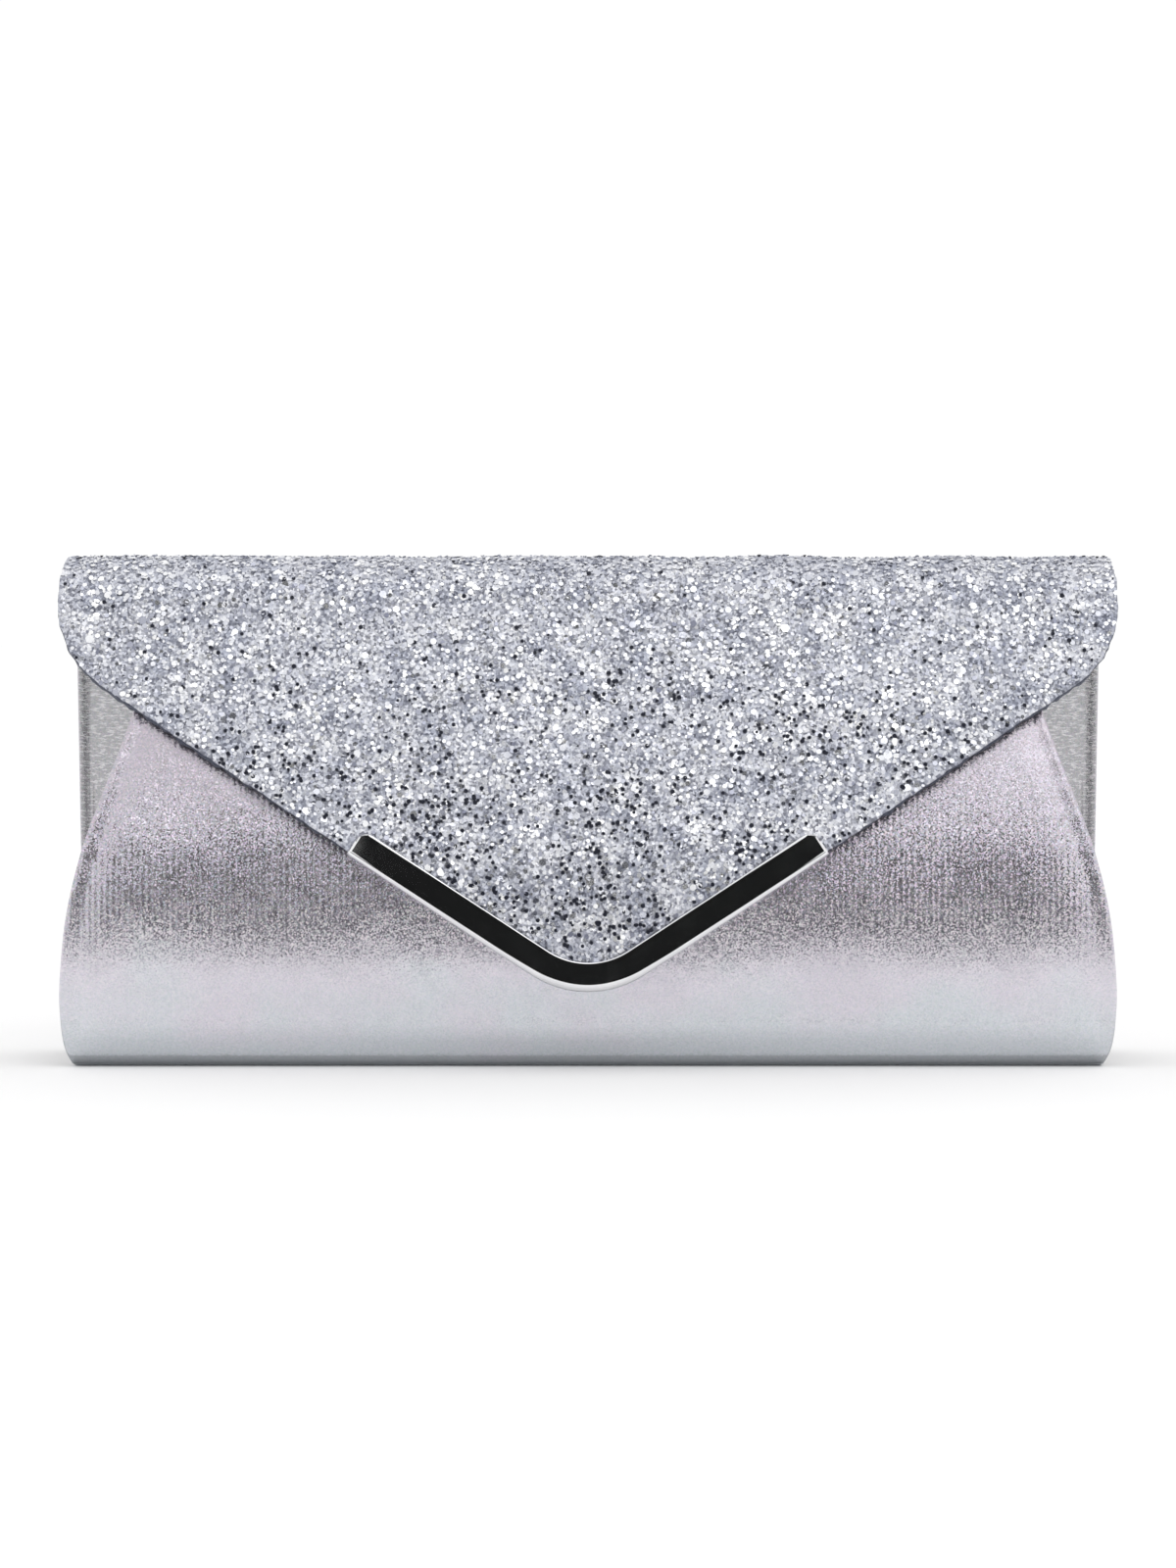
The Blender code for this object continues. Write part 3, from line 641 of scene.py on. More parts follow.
def lame_look(name, tints, crush, crease_size, stretch, coarseness, ridge_highlight=0.0):
    """Metal-coated fabric: fine grains, each tipped its own way, over faint upright ribs.

    Tints are its colours on the way down; where they change down the front and back they are painted light,
    and coarseness is how strongly the grain shows there, made strongest in the front's dark reflection band.
    Crush is how rough its creases are; the last argument sets the painted highlight along their ridges.
    """
    look = Look(name)
    grains = look.cells(0.32 * MM)
    crease = look.noise(crease_size, detail=3.0, stretch=stretch, rough=0.65)
    cloud = look.noise(24 * MM)
    patch = look.noise(5 * MM, detail=3.0)
    ribs = look.stripes(1.4 * MM, wobble=0.7)
    down = look.node("SeparateXYZ", {"Vector": look.place}).outputs["Y"]
    along = look.math("DIVIDE", down, FRONT_LENGTH)
    coarse = look.ramp(along, grey_stops(*coarseness))
    at = look.math("ADD", along, look.math("MULTIPLY", cloud, 0.5))
    tint = look.ramp(look.math("SUBTRACT", at, 0.15), tints)
    rainbow = look.mix(0.22, look.ramp(look.red(grains), GRAIN_GLINT), grains.outputs["Color"])
    colour = look.mix(look.math("MULTIPLY", coarse, 0.62), tint, rainbow, "MULTIPLY")
    # Painted highlight: crease ridges are mixed towards near white, as bright glints on the crumpled gusset.
    ridge = look.ramp(crease, grey_stops((0.52, 0.0), (0.60, 1.0), (0.66, 0.1)))
    colour = look.mix(look.math("MULTIPLY", ridge, ridge_highlight), colour, (0.98, 0.97, 0.99))
    rib_height = look.math("MULTIPLY", ribs, look.math("MULTIPLY", coarse, 0.42))
    height = look.math("ADD", look.math("MULTIPLY", crease, crush), rib_height)
    grain_tilt = look.tilted((grains, look.math("MULTIPLY", coarse, 0.27)))
    look.set(
        Base_Color=colour,
        Metallic=0.9,
        Roughness=look.remap(patch, 0.35, 0.65, 0.27, 0.19),
        Normal=look.bump(height, 0.12 * MM, 0.8, grain_tilt),
        Sheen_Weight=0.05,
        Sheen_Roughness=0.4,
    )
    return look.material


def glitter_ground_look():
    """The ground of the glitter: packed fine flakes, each tilted its own way."""
    look = Look("glitter_ground")
    flakes = look.cells(0.62 * MM)
    fine = look.cells(0.3 * MM)
    tint = look.ramp(look.red(flakes), GLITTER_GREYS)
    cloud = look.noise(8 * MM, detail=3.0)
    shade = look.ramp(cloud, [(0.36, (0.62, 0.64, 0.70)), (0.64, (1.0, 1.0, 1.0))])
    look.set(
        Base_Color=look.mix(1.0, tint, shade, "MULTIPLY"),
        Metallic=0.75,
        Roughness=look.remap(fine.outputs["Distance"], 0.0, 0.6, 0.22, 0.45),
        Normal=look.tilted((flakes, (0.9, 0.9, 0.9)), (fine, (0.45, 0.45, 0.45))),
    )
    return look.material


def flake_look():
    """Loose hexagon flakes of mirror film, in silver and blue-grey."""
    look = Look("glitter_flakes")
    lot = look.node("NewGeometry").outputs["Random Per Island"]
    tint = look.ramp(lot, FILM_LOTS, "CONSTANT")
    cloud = look.noise(11 * MM, detail=3.0)
    shade = look.ramp(cloud, [(0.38, (0.72, 0.73, 0.78)), (0.62, (1.0, 1.0, 1.0))])
    film = look.noise(0.25 * MM, detail=1.0)
    look.set(
        Base_Color=look.mix(1.0, tint, shade, "MULTIPLY"),
        Metallic=0.92,
        Roughness=look.remap(film, 0.3, 0.7, 0.16, 0.32),
    )
    return look.material


def dark_flake_look():
    look = Look("dark_flakes")
    film = look.noise(0.25 * MM, detail=1.0)
    look.set(
        Base_Color=look.ramp(film, [(0.3, (0.004, 0.005, 0.012)), (0.7, (0.014, 0.016, 0.032))]),
        Roughness=look.remap(film, 0.3, 0.7, 0.4, 0.6),
        Specular_IOR_Level=0.25,
    )
    return look.material


def satin_look():
    """Grey lining: a fine slanted twill with long slubs."""
    look = Look("lining_satin")
    twill = look.stripes(0.42 * MM, turn=math.radians(32))
    slub = look.noise(0.9 * MM, stretch=6.0)
    tint = look.ramp(look.noise(20 * MM), [(0.3, (0.20, 0.20, 0.225)), (0.7, (0.25, 0.25, 0.275))])
    streak = look.ramp(slub, grey_stops((0.35, 0.8), (0.65, 1.1)))
    height = look.math("ADD", look.math("MULTIPLY", twill, 0.5), look.math("MULTIPLY", slub, 0.7))
    look.set(
        Base_Color=look.mix(0.4, tint, streak, "MULTIPLY"),
        Roughness=look.remap(slub, 0.3, 0.7, 0.5, 0.36),
        Normal=look.bump(height, 0.08 * MM, 0.6),
        Sheen_Weight=0.35,
        Sheen_Roughness=0.35,
        Specular_IOR_Level=0.6,
    )
    return look.material


def edge_paint_and_shadow_look():
    """The flap's cut edge: dark blue-grey ground cloth with a rough nap. Its dark colour is also painted
    shadow, standing for the shadow line under the flap's edge.
    """
    look = Look("flap_edge_paint_and_shadow")
    nap = look.noise(0.5 * MM, detail=3.0)
    colour = look.ramp(nap, [(0.35, (0.03, 0.034, 0.055)), (0.65, (0.10, 0.11, 0.15))])
    look.set(Base_Color=colour, Roughness=0.75, Normal=look.bump(nap, 0.15 * MM, 0.7))
    return look.material


def thread_look():
    look = Look("thread")
    twist = look.stripes(0.35 * MM, turn=math.radians(35))
    look.set(
        Base_Color=look.ramp(twist, [(0.2, (0.30, 0.29, 0.32)), (0.8, (0.46, 0.45, 0.49))]),
        Roughness=0.45,
        Normal=look.bump(twist, 0.08 * MM, 0.8),
        Sheen_Weight=0.2,
    )
    return look.material


def cardboard_look():
    look = Look("cardboard", by_uv=False)
    fibre = look.noise(0.8 * MM, detail=4.0, stretch=3.0)
    tint = look.ramp(look.noise(12 * MM), [(0.3, (0.30, 0.24, 0.17)), (0.7, (0.37, 0.31, 0.23))])
    fleck = look.ramp(fibre, grey_stops((0.35, 0.7), (0.65, 1.15)))
    look.set(
        Base_Color=look.mix(0.5, tint, fleck, "MULTIPLY"),
        Roughness=look.remap(fibre, 0.3, 0.7, 0.95, 0.8),
        Normal=look.bump(fibre, 0.1 * MM, 0.5),
    )
    return look.material


def metal_look(look, smear, tints, roughness, bump):
    """Bare metal. Tints are its colours at smears of 0.3 and 0.7, and bump goes to Look.bump."""
    look.set(
        Base_Color=look.ramp(smear, list(zip((0.3, 0.7), tints))),
        Metallic=1.0,
        Roughness=look.remap(smear, *roughness),
        Normal=look.bump(*bump),
    )
    return look.material


def polished_look():
    """Polished plate with faint hand marks and fine buffing lines."""
    look = Look("polished_metal")
    smear = look.noise(7 * MM, detail=3.0)
    lines = look.noise(0.12 * MM, detail=1.0, stretch=24.0)
    tints = ((0.80, 0.80, 0.82), (0.88, 0.88, 0.89))
    return metal_look(look, smear, tints, (0.35, 0.7, 0.035, 0.10), (lines, 0.01 * MM, 0.10))


def nickel_look():
    look = Look("nickel")
    smear = look.noise(3 * MM, detail=3.0)
    lines = look.noise(0.1 * MM, stretch=12.0)
    tints = ((0.58, 0.565, 0.54), (0.70, 0.685, 0.66))
    return metal_look(look, smear, tints, (0.3, 0.7, 0.16, 0.30), (lines, 0.02 * MM, 0.25))


def steel_look():
    """Plated washers, which keep their CAD shape."""
    look = Look("plated_steel", by_uv=False)
    smear = look.noise(2 * MM, detail=4.0)
    tints = ((0.45, 0.44, 0.42), (0.60, 0.59, 0.57))
    return metal_look(look, smear, tints, (0.3, 0.7, 0.25, 0.42), (smear, 0.05 * MM, 0.3))


LAME = lame_look("silver_lame", LILAC_TO_COOL_PAINTED_LIGHT, 0.45, 0.7 * MM, 1.3, GRAIN_AT_DARK_REFLECTION)
GUSSET_LAME = lame_look("silver_lame_crushed", GREYS, 1.6, 2.4 * MM, 0.2, EVEN_GRAIN, 0.5)
GLITTER = glitter_ground_look()
FLAKES = flake_look()
DARK_FLAKES = dark_flake_look()
SATIN = satin_look()
EDGE_PAINT_AND_SHADOW = edge_paint_and_shadow_look()
POLISHED = polished_look()
NICKEL = nickel_look()
CARDBOARD = cardboard_look()
STEEL = steel_look()
THREAD = thread_look()


# Body shell: the back and the base are one wrap, and the front is the next one.


def edge_bead(from_edge):
    """A turned edge: a soft roll along the border, with the crease of its stitches behind it."""
    roll = 1 - ease(from_edge, 1.26 * MM, 2.07 * MM)
    crease = np.exp(-(((from_edge - 2.43 * MM) / (0.45 * MM)) ** 2))
    return 0.42 * MM * roll - 0.07 * MM * crease


def body_wrap():
    def bulge(x, v, z, from_edge):
        on_back = ease(z, 6 * MM, 20 * MM) * (1 - ease(z, 88 * MM, 97 * MM))
        soft = 0.28 * MM * undulation(x, z, 46 * MM, 3) + 0.35 * MM
        pillow = -0.7 * MM * (1 - ease(from_edge, 0, 7 * MM)) * ease(z, 2 * MM, 10 * MM)
        bead = edge_bead(from_edge) * ease(z, 3 * MM, 9 * MM)
        return on_back * soft * ease(from_edge, 0, 20 * MM) + pillow + bead

    path = back_path(60, UNDER_SEAM_Y, 1.3 * MM)[::-1]
    grid, uv = wall_grid(path, back_half_width, 150, bulge)
    # Measured down from the mouth, so the back takes the same painted light as the front.
    uv[:, :, 1] = uv[:, :, 1].max() - uv[:, :, 1]
    piece = cloth("body_cover", grid, FABRIC, outward_normals(grid), LAME, uv)
    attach(piece, "shell")
    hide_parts("back_panel", "base_panel")


def front_wrap():
    def bulge(x, v, z, from_edge):
        pillow = -0.8 * MM * (1 - ease(from_edge, 0, 9 * MM)) * ease(z, 2 * MM, 12 * MM)
        soft = 0.16 * MM * undulation(x, z, 38 * MM, 11) * ease(z, 6 * MM, 25 * MM)
        pucker = 0.04 * MM * np.sin(z / (6.3 * MM) * 2 * math.pi + 1.3 * np.sin(z / (17 * MM)))
        near = np.exp(-((from_edge / (6 * MM)) ** 2)) * ease(z, 20 * MM, 45 * MM)
        bead = edge_bead(from_edge) * ease(z, 5 * MM, 14 * MM)
        return pillow + soft * ease(from_edge, 0, 15 * MM) + pucker * near + bead

    path = front_path(14, UNDER_SEAM_Y - 0.35 * MM, 1.1 * MM)[::-1]
    grid, uv = wall_grid(path, side_x, 190, bulge)
    piece = cloth("front_cover", grid, FABRIC, outward_normals(grid), LAME, uv)
    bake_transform(piece)
    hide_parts("front_panel")


def straight_seam(x, y, z):
    """Points of a line along X."""
    return np.stack([x, np.full_like(x, y), np.full_like(x, z)], 1)


def mouth_binding():
    """A strip folded over the mouth's edge, with a row of stitches along its front."""
    outer = np.array([(float(front_y(z)) - 0.08 * MM, z) for z in np.linspace(104.2, 108, 6) * MM])
    outer = outer + normals_2d(outer) * (0.40 * MM)
    top_out, top_y = outer[-1], float(front_y(FRONT_TOP_Z)) + WALL + 0.9 * MM
    centre_y, centre_z = (top_out[0] + top_y) / 2, FRONT_TOP_Z + 0.5 * MM
    half = (top_y - top_out[0]) / 2
    over = [
        (centre_y - half * math.cos(a), centre_z + 2.1 * MM * math.sin(a))
        for a in np.linspace(0.15, math.pi - 0.05, 14)
    ]
    lean = (float(front_y(FRONT_TOP_Z)) - float(front_y(FRONT_TOP_Z - 4 * MM))) / (4 * MM)
    inner = [(top_y - lean * d, centre_z - d) for d in np.linspace(0.8, 4.2, 5) * MM]
    path = resample([tuple(q) for q in outer] + over + inner, 0.55 * MM)[::-1]

    def bulge(x, v, z, from_edge):
        return 0.05 * MM * undulation(x, v, 9 * MM, 21)

    grid, uv = wall_grid(path, lambda z: 99.2 * MM, 170, bulge)
    normal = outward_normals(grid, centre=(0, top_y - 3 * MM, FRONT_TOP_Z - 3 * MM))
    piece = cloth("mouth_binding_strip", grid, 0.38 * MM, normal, LAME, uv, rim_steps=3)
    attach(piece, "front")
    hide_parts("mouth_binding")
    z = 105.4 * MM
    line = straight_seam(np.linspace(-97.5, 97.5, 160) * MM, np.interp(z, outer[:, 1], outer[:, 0]), z)
    row = stitches("mouth_stitches", [(line, (0, -0.95, 0.31))])
    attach(row, "front")


# Gussets.

# The foot flares out in four rows: (distance out, distance down), in millimetres.
GUSSET_FOOT = [(2.3, 0.08), (1.6, 0.06), (0.9, 0.04), (0.35, 0.02)]


def gusset_row(z):
    """The sheet's outer face at one height: flange, back seam, crease, front seam, flange."""
    back_x, front_x = back_half_width(z), float(side_x(z))
    front = np.array([front_x - GUSSET_FLANGE, float(front_y(z)) + GUSSET_FLANGE_DEPTH])
    back = np.array([back_x - GUSSET_FLANGE, float(back_y(z)) - GUSSET_FLANGE_DEPTH])
    share = max(0.0, z - FRONT_SEAM_Z) / (GUSSET_TOP_Z - FRONT_SEAM_Z)
    x = min(CREASE_FOOT_X + (CREASE_TOP_X - CREASE_FOOT_X) * share, front[0])
    near_front = front[1] + 1.5 * MM
    middle = (front[1] + back[1]) / 2
    turn = float(ease(z, FRONT_SEAM_Z, CREASE_TURNED_Z))
    crease = np.array([x, near_front + (middle - near_front) * turn])
    half = np.linspace(0, 1, GUSSET_COLUMNS // 2 + 1)[:, None]
    line = smoothed(np.vstack([back + (crease - back) * half, crease + (front - crease) * half[1:]]), 5)
    out = np.linspace(0.25 * MM, GUSSET_FLANGE - 0.25 * MM, 4)
    first = np.stack([back_x - out, np.full(4, back[1])], 1)
    last = np.stack([front_x - out[::-1], np.full(4, front[1])], 1)
    return np.vstack([first, line, last])


def gusset(side, name):
    """One folded sheet from the back's seam to the front's, whose crease runs in towards the mouth."""
    heights = np.concatenate([np.linspace(1.8, 12, 9)[:-1], np.linspace(12, 104.6, 110)]) * MM
    flat = np.array([gusset_row(z) for z in heights])
    z = np.broadcast_to(heights[:, None], flat.shape[:2])
    grid = np.dstack([flat, z])
    t = np.linspace(0, 1, flat.shape[1])[None, :]
    held = ease(t, 0.06, 0.22) * (1 - ease(t, 0.78, 0.94))
    near_crease = np.exp(-(((t - 0.5) / 0.16) ** 2))
    slant = z + 21 * MM * np.abs(t - 0.5) + 2.2 * MM * undulation(t * 30 * MM, z, 22 * MM, 33 + side)
    wrinkle = 0.34 * MM * undulation(t * 34 * MM, z, 13 * MM, 31 + side)
    wrinkle = wrinkle + 0.16 * MM * undulation(t * 20 * MM, z, 5 * MM, 37 + side)
    fold = np.sin(slant / (8.3 * MM) * 2 * math.pi) * (0.10 + 0.20 * near_crease) * MM
    crush = ease(z, 16 * MM, 40 * MM) * (1 - 0.6 * ease(z, 96 * MM, 104 * MM))
    grid = grid + grid_normals(grid) * ((wrinkle + fold) * held * crush)[:, :, None]
    out, down = np.array(GUSSET_FOOT).T[:, :, None] * MM
    foot = np.repeat(grid[:1], len(out), axis=0)
    foot[:, :, 0] = np.minimum(foot[:, :, 0] + out, float(side_x(heights[0])) - 0.3 * MM)
    foot[:, :, 2] -= down
    grid = np.vstack([foot, grid])
    z = np.vstack([z[:1] - out, z])
    along = np.cumsum(np.linalg.norm(np.diff(flat, axis=1, prepend=flat[:, :1]), axis=2), axis=1)
    along = np.vstack([np.repeat(along[:1], len(out), axis=0), along])
    grid[:, :, 0] *= side
    uv = np.stack([along, z], 2)
    piece = cloth(f"gusset_{name}", grid, GUSSET, outward_normals(grid), GUSSET_LAME, uv)
    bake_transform(piece)
    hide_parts(f"gusset_{name}_rear", f"gusset_{name}_front")


# Lining and pocket.


def lining_grid(path, half_width):
    """A lining's grid, whose free side faces the compartment."""
    inside = np.array(BAG_CENTRE[1:]) - path
    turn = np.median(np.sign((inside * normals_2d(path)).sum(axis=1)))
    inner = path + normals_2d(path) * (WALL * turn)

    def soft(x, v, z, from_edge):
        return 0.16 * MM * undulation(x, v, 24 * MM, 41) * ease(from_edge, 0, 12 * MM)

    return wall_grid(inner[::-1] if turn > 0 else inner, half_width, 110, soft)


def hemmed(grid, uv):
    """The grid with its sides turned back over the board's edges, and its top turned back over the board."""
    if grid[0, 0, 2] < grid[-1, 0, 2]:
        grid, uv = grid[::-1], uv[::-1]
    back = -outward_normals(grid, True)
    columns, places = [], []
    for column, side in ((0, np.sign(grid[0, 0, 0])), (-1, np.sign(grid[0, -1, 0]))):
        for aside, turned_back in ((0.45 * MM, 1.9 * MM), (0.32 * MM, 0.3 * MM)):
            columns.append(grid[:, column] + back[:, column] * turned_back + [side * aside, 0, 0])
            places.append(uv[:, column] + [side * (aside + turned_back), 0])
    grid = np.stack([*columns[:2], *grid.transpose(1, 0, 2), columns[3], columns[2]], 1)
    uv = np.stack([*places[:2], *uv.transpose(1, 0, 2), places[3], places[2]], 1)
    over = [grid[0] + [0, 1.3 * MM, 0.32 * MM], grid[0] + [0, 0.4 * MM, 0.30 * MM]]
    up = [uv[0] - [0, 1.7 * MM], uv[0] - [0, 0.5 * MM]]
    return np.vstack([over, grid]), np.vstack([up, uv])


def linings():
    grid, uv = hemmed(*lining_grid(back_path(50, UNDER_SEAM_Y - 1 * MM, 1.8 * MM), inner_x))
    piece = cloth("lining_back_and_base", grid, LINING, outward_normals(grid, True), SATIN, uv)
    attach(piece, "shell")
    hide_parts("back_lining", "base_lining")

    def front_inner_x(z):
        return min(float(side_x(z)) - 4.8 * MM, 118.5 * MM)

    grid, uv = lining_grid(front_path(12, UNDER_SEAM_Y - 1.6 * MM, 1.8 * MM), front_inner_x)
    piece = cloth("lining_front", grid, LINING, outward_normals(grid, True), SATIN, uv)
    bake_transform(piece)
    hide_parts("front_lining")


def pocket():
    """A slip pocket that hangs from its side seams and gapes a little at the hem."""
    foot, top, columns = 25 * MM, 84 * MM, 84
    z = np.linspace(foot, top, 50)[:, None]
    u = np.linspace(-1, 1, columns)[None, :]
    share = (z - foot) / (top - foot)
    x, zz = np.broadcast_arrays(u * 62 * MM, z)
    middle = 1 - u**2
    gape = 1.5 * MM * middle * ease(share, 0.35, 1.0)
    hem = 0.28 * MM * ease(zz, 76.6 * MM, 77.2 * MM)
    soft = 0.14 * MM * undulation(x, zz, 19 * MM, 51)
    y = back_y(z) - WALL - 0.3 * MM - 0.9 * MM * share - LINING
    p = np.stack([x, y - gape - hem - soft, zz - 1.6 * MM * middle * share**3], 2)
    piece = cloth("pocket_panel", p, LINING, outward_normals(p, True), SATIN, np.stack([x, zz], 2))
    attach(piece, "shell")
    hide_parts("slip_pocket")
    hem_row = int(np.searchsorted(z[:, 0], 76.0 * MM))
    seams = (p[2:-2, 2], p[2:-2, columns - 3], p[2, 2:-2], p[hem_row, 3:-3])
    lines = [(line + [0, -0.12 * MM, 0], (0, -1, 0)) for line in seams]
    row = stitches("pocket_stitches", lines, pitch=2.6 * MM, radius=0.16 * MM)
    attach(row, "shell")


# Flap.

# The band round the cut edge: (distance in from its outside, distance behind the face), in millimetres.
BAND_SECTION = [
    (0.55, 0.30), (0.18, 0.55), (0.10, 1.3), (0.12, 2.3),
    (0.2, 2.75), (0.5, 2.95), (1.6, 2.95), (1.6, 0.85),
]
BAND_STAND = 0.58
FLAKE_SIZES = [0.32, 0.45, 0.60, 0.80, 1.10]
FLAKE_SHARES = [0.30, 0.38, 0.268, 0.05, 0.002]
PALE_FLAKES = 16500
DARK_SPOTS = 1100


def flap_section():
    """Outer section of the glitter cloth: from its foot on the back, over the top and down to the tip."""
    z = np.linspace(ANCHOR_FOOT_Z, BACK_TOP_Z - 0.6 * MM, 20)
    back = np.stack([back_y(z) + ANCHOR_STAND, z], 1)
    path = np.vstack([back, FLAP_CURVE[1:]])
    low = FLAP_TIP_Z + FLAP_EDGE + 0.25 * MM
    path = path[(np.arange(len(path)) < len(back) + FLAP_CREST) | (path[:, 1] > low)]
    end = np.array([[float(flap_y(low)), low]])
    return smoothed(resample(np.vstack([path, end]), FLAP_ROW), 3)


def flap_widths(path, inset):
    """Half widths of the flap along its section, narrower over the fold and on the back."""
    crest = int(np.argmax(path[:, 1]))
    narrow = FLAP_FOLD_HALF_WIDTH - (inset - FLAP_EDGE)
    anchor = BACK_HALF_WIDTH - (inset - FLAP_EDGE)
    widths = []
    for i, z in enumerate(path[:, 1]):
        if i < crest:
            widths.append(anchor + (narrow - anchor) * float(ease(z, 108 * MM, 119 * MM)))
            continue
        wide = flap_half_width(z, inset)
        rise = min(max((z - FLAP_NARROWS_Z) / FLAP_NARROWING, 0.0), 1.0)
        widths.append(wide + (narrow - wide) * (1 - math.sqrt(1 - rise * rise)))
    return np.maximum(np.array(widths), 0.5 * MM)


def flap_cover():
    """The glitter cloth. Gives its grid, normals and section to the pieces that lie on it."""
    path = flap_section()
    widths = flap_widths(path, FLAP_EDGE + 0.1 * MM)[:, None]
    u = np.linspace(-1, 1, 230)[None, :]
    s = np.arange(len(path))[:, None] * FLAP_ROW
    ragged = 0.22 * MM * undulation(s, u * 30 * MM, 2.6 * MM, 61) * np.abs(u) ** 24
    x = widths * u + np.sign(u) * ragged
    grain = 0.10 * MM * undulation(x, s, 1.9 * MM, 62) + 0.06 * MM * undulation(x, s, 1.1 * MM, 63)
    soft = 0.22 * MM * undulation(x, s, 42 * MM, 64)
    p = raised(path, x, grain + soft * ease(widths - np.abs(x), 0, 12 * MM))
    uv = np.stack([x, np.broadcast_to(s, x.shape)], 2)
    normal = outward_normals(p)
    piece = cloth("flap_glitter_cloth", p, FLAP_COVER, normal, GLITTER, uv, rim_steps=3)
    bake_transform(piece)
    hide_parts("flap_cover", "flap_anchor_strip")
    return p, normal, path


def flap_edge(p, normal, path):
    """A band of edge paint round the flap's cut edge, which closes its layers and just shows past the
    glitter. The dark line it shows is partly the edge's own colour and partly painted shadow under the edge.
    """
    first = int(np.argmax(path[:, 1] > BACK_TOP_Z - 0.5 * MM))
    crest = int(np.argmax(path[:, 1]))
    rows = [i for i in range(first, len(path)) if i < crest or p[i, -1, 0] > TRIM_END_X + 0.6 * MM]
    vertices, faces, uv = [], [], []
    for side, column, inner in ((-1, 0, 12), (1, -1, -13)):
        start = len(vertices)
        edge = p[rows, column]
        along = smoothed(np.gradient(edge, axis=0), 3)
        edge = smoothed(edge, 3)
        for k, n in enumerate(normal[rows, inner]):
            out = np.cross(along[k], n)
            out *= np.sign(out[0]) * side / np.linalg.norm(out)
            for inward, depth in BAND_SECTION:
                vertices.append(edge[k] + out * (BAND_STAND - inward) * MM - n * depth * MM)
                uv.append(((k + 1) * FLAP_ROW, (inward + depth) * MM))
        faces += [tuple(start + q for q in face) for face in lofted(len(rows), len(BAND_SECTION))]
    piece = make_object("flap_edge_band", vertices, faces, uv, EDGE_PAINT_AND_SHADOW)
    face_outward(piece)
    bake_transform(piece)


def trim_depth(x, z):
    """Distance in from the V's outer edge, for a point of the flap's front."""
    ax, dz = np.abs(x), z - FLAP_TIP_CENTRE_Z
    leg = dz * FLAP_COSINE - ax * FLAP_SINE + FLAP_TIP_RADIUS
    arc = FLAP_TIP_RADIUS - np.hypot(ax, dz)
    return np.where(ax * FLAP_COSINE + dz * FLAP_SINE < 0, arc, leg)


def scatter(p, normal, path, count, rng, low=0.0):
    """Random places on the cloth with their normals, none under the metal. Low gathers them to the tip."""
    crest = int(np.argmax(path[:, 1]))
    corner = p[:-1, :-1]
    area = np.linalg.norm(np.cross(p[1:, :-1] - corner, p[:-1, 1:] - corner), axis=2)
    clump = 1 + low * np.clip(undulation(corner[:, :, 0], corner[:, :, 2], 30 * MM, 81), -0.8, 2)
    down = ease(corner[:, :, 2], 112 * MM, 45 * MM) if low else 1.0
    weight = np.clip(area * (clump * (1 - low) + low * 2.2 * down * clump), 0, None)
    cell = rng.choice(weight.size, count, p=(weight / weight.sum()).ravel())
    i, j = np.divmod(cell, p.shape[1] - 1)
    fi, fj = rng.random(count)[:, None], rng.random(count)[:, None]
    upper = p[i, j] * (1 - fj) + p[i, j + 1] * fj
    lower = p[i + 1, j] * (1 - fj) + p[i + 1, j + 1] * fj
    place = upper * (1 - fi) + lower * fi
    near = (i > crest) & (np.abs(place[:, 0]) < TRIM_END_X + 1 * MM)
    keep = ~(near & (trim_depth(place[:, 0], place[:, 2]) < TRIM_FACE + 0.5 * MM))
    return place[keep], normal[i, j][keep]


def flake_mesh(name, place, n, size, height, tilt, material, rng):
    """One closed flake at each place: a flat hexagon, tipped its own way, over a short stem."""
    count = len(place)
    random = rng.normal(size=(count, 3))
    lean = rng.normal(0, math.radians(tilt), count)[:, None]
    axis = np.cross(random, n)
    axis /= np.linalg.norm(axis, axis=1, keepdims=True)
    up = n * np.cos(lean) + np.cross(axis, n) * np.sin(lean)
    across = np.cross(up, random)
    across /= np.linalg.norm(across, axis=1, keepdims=True)
    other = np.cross(up, across)
    middle = place + n * height[:, None]
    turns = np.arange(6) * math.pi / 3
    corners = [middle + (across * math.cos(a) + other * math.sin(a)) * size[:, None] for a in turns]
    corners.append(place - n * (0.25 * MM))
    vertices = np.stack(corners, 1).reshape(-1, 3)
    faces = []
    for b in range(0, count * 7, 7):
        faces.append(tuple(range(b, b + 6)))
        faces += [(b + (k + 1) % 6, b + k, b + 6) for k in range(6)]
    uv = np.stack([vertices[:, 0], vertices[:, 2] - vertices[:, 1]], 1)
    piece = make_object(name, vertices, faces, uv, material, smooth=False)
    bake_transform(piece)


def glitter_flakes(p, normal, path):
    rng = np.random.default_rng(7)
    place, n = scatter(p, normal, path, PALE_FLAKES, rng)
    count = len(place)
    size = rng.choice(FLAKE_SIZES, count, p=FLAKE_SHARES) * MM
    size *= rng.uniform(0.85, 1.15, count)
    height = rng.uniform(0.10, 0.24, count) * MM
    flake_mesh("flap_glitter_flakes", place, n, size, height, 15, FLAKES, rng)
    place, n = scatter(p, normal, path, DARK_SPOTS, rng, 0.88)
    count = len(place)
    size = rng.uniform(0.38, 0.58, count) * MM
    height = rng.uniform(0.28, 0.36, count) * MM
    flake_mesh("flap_dark_flakes", place, n, size, height, 7, DARK_FLAKES, rng)


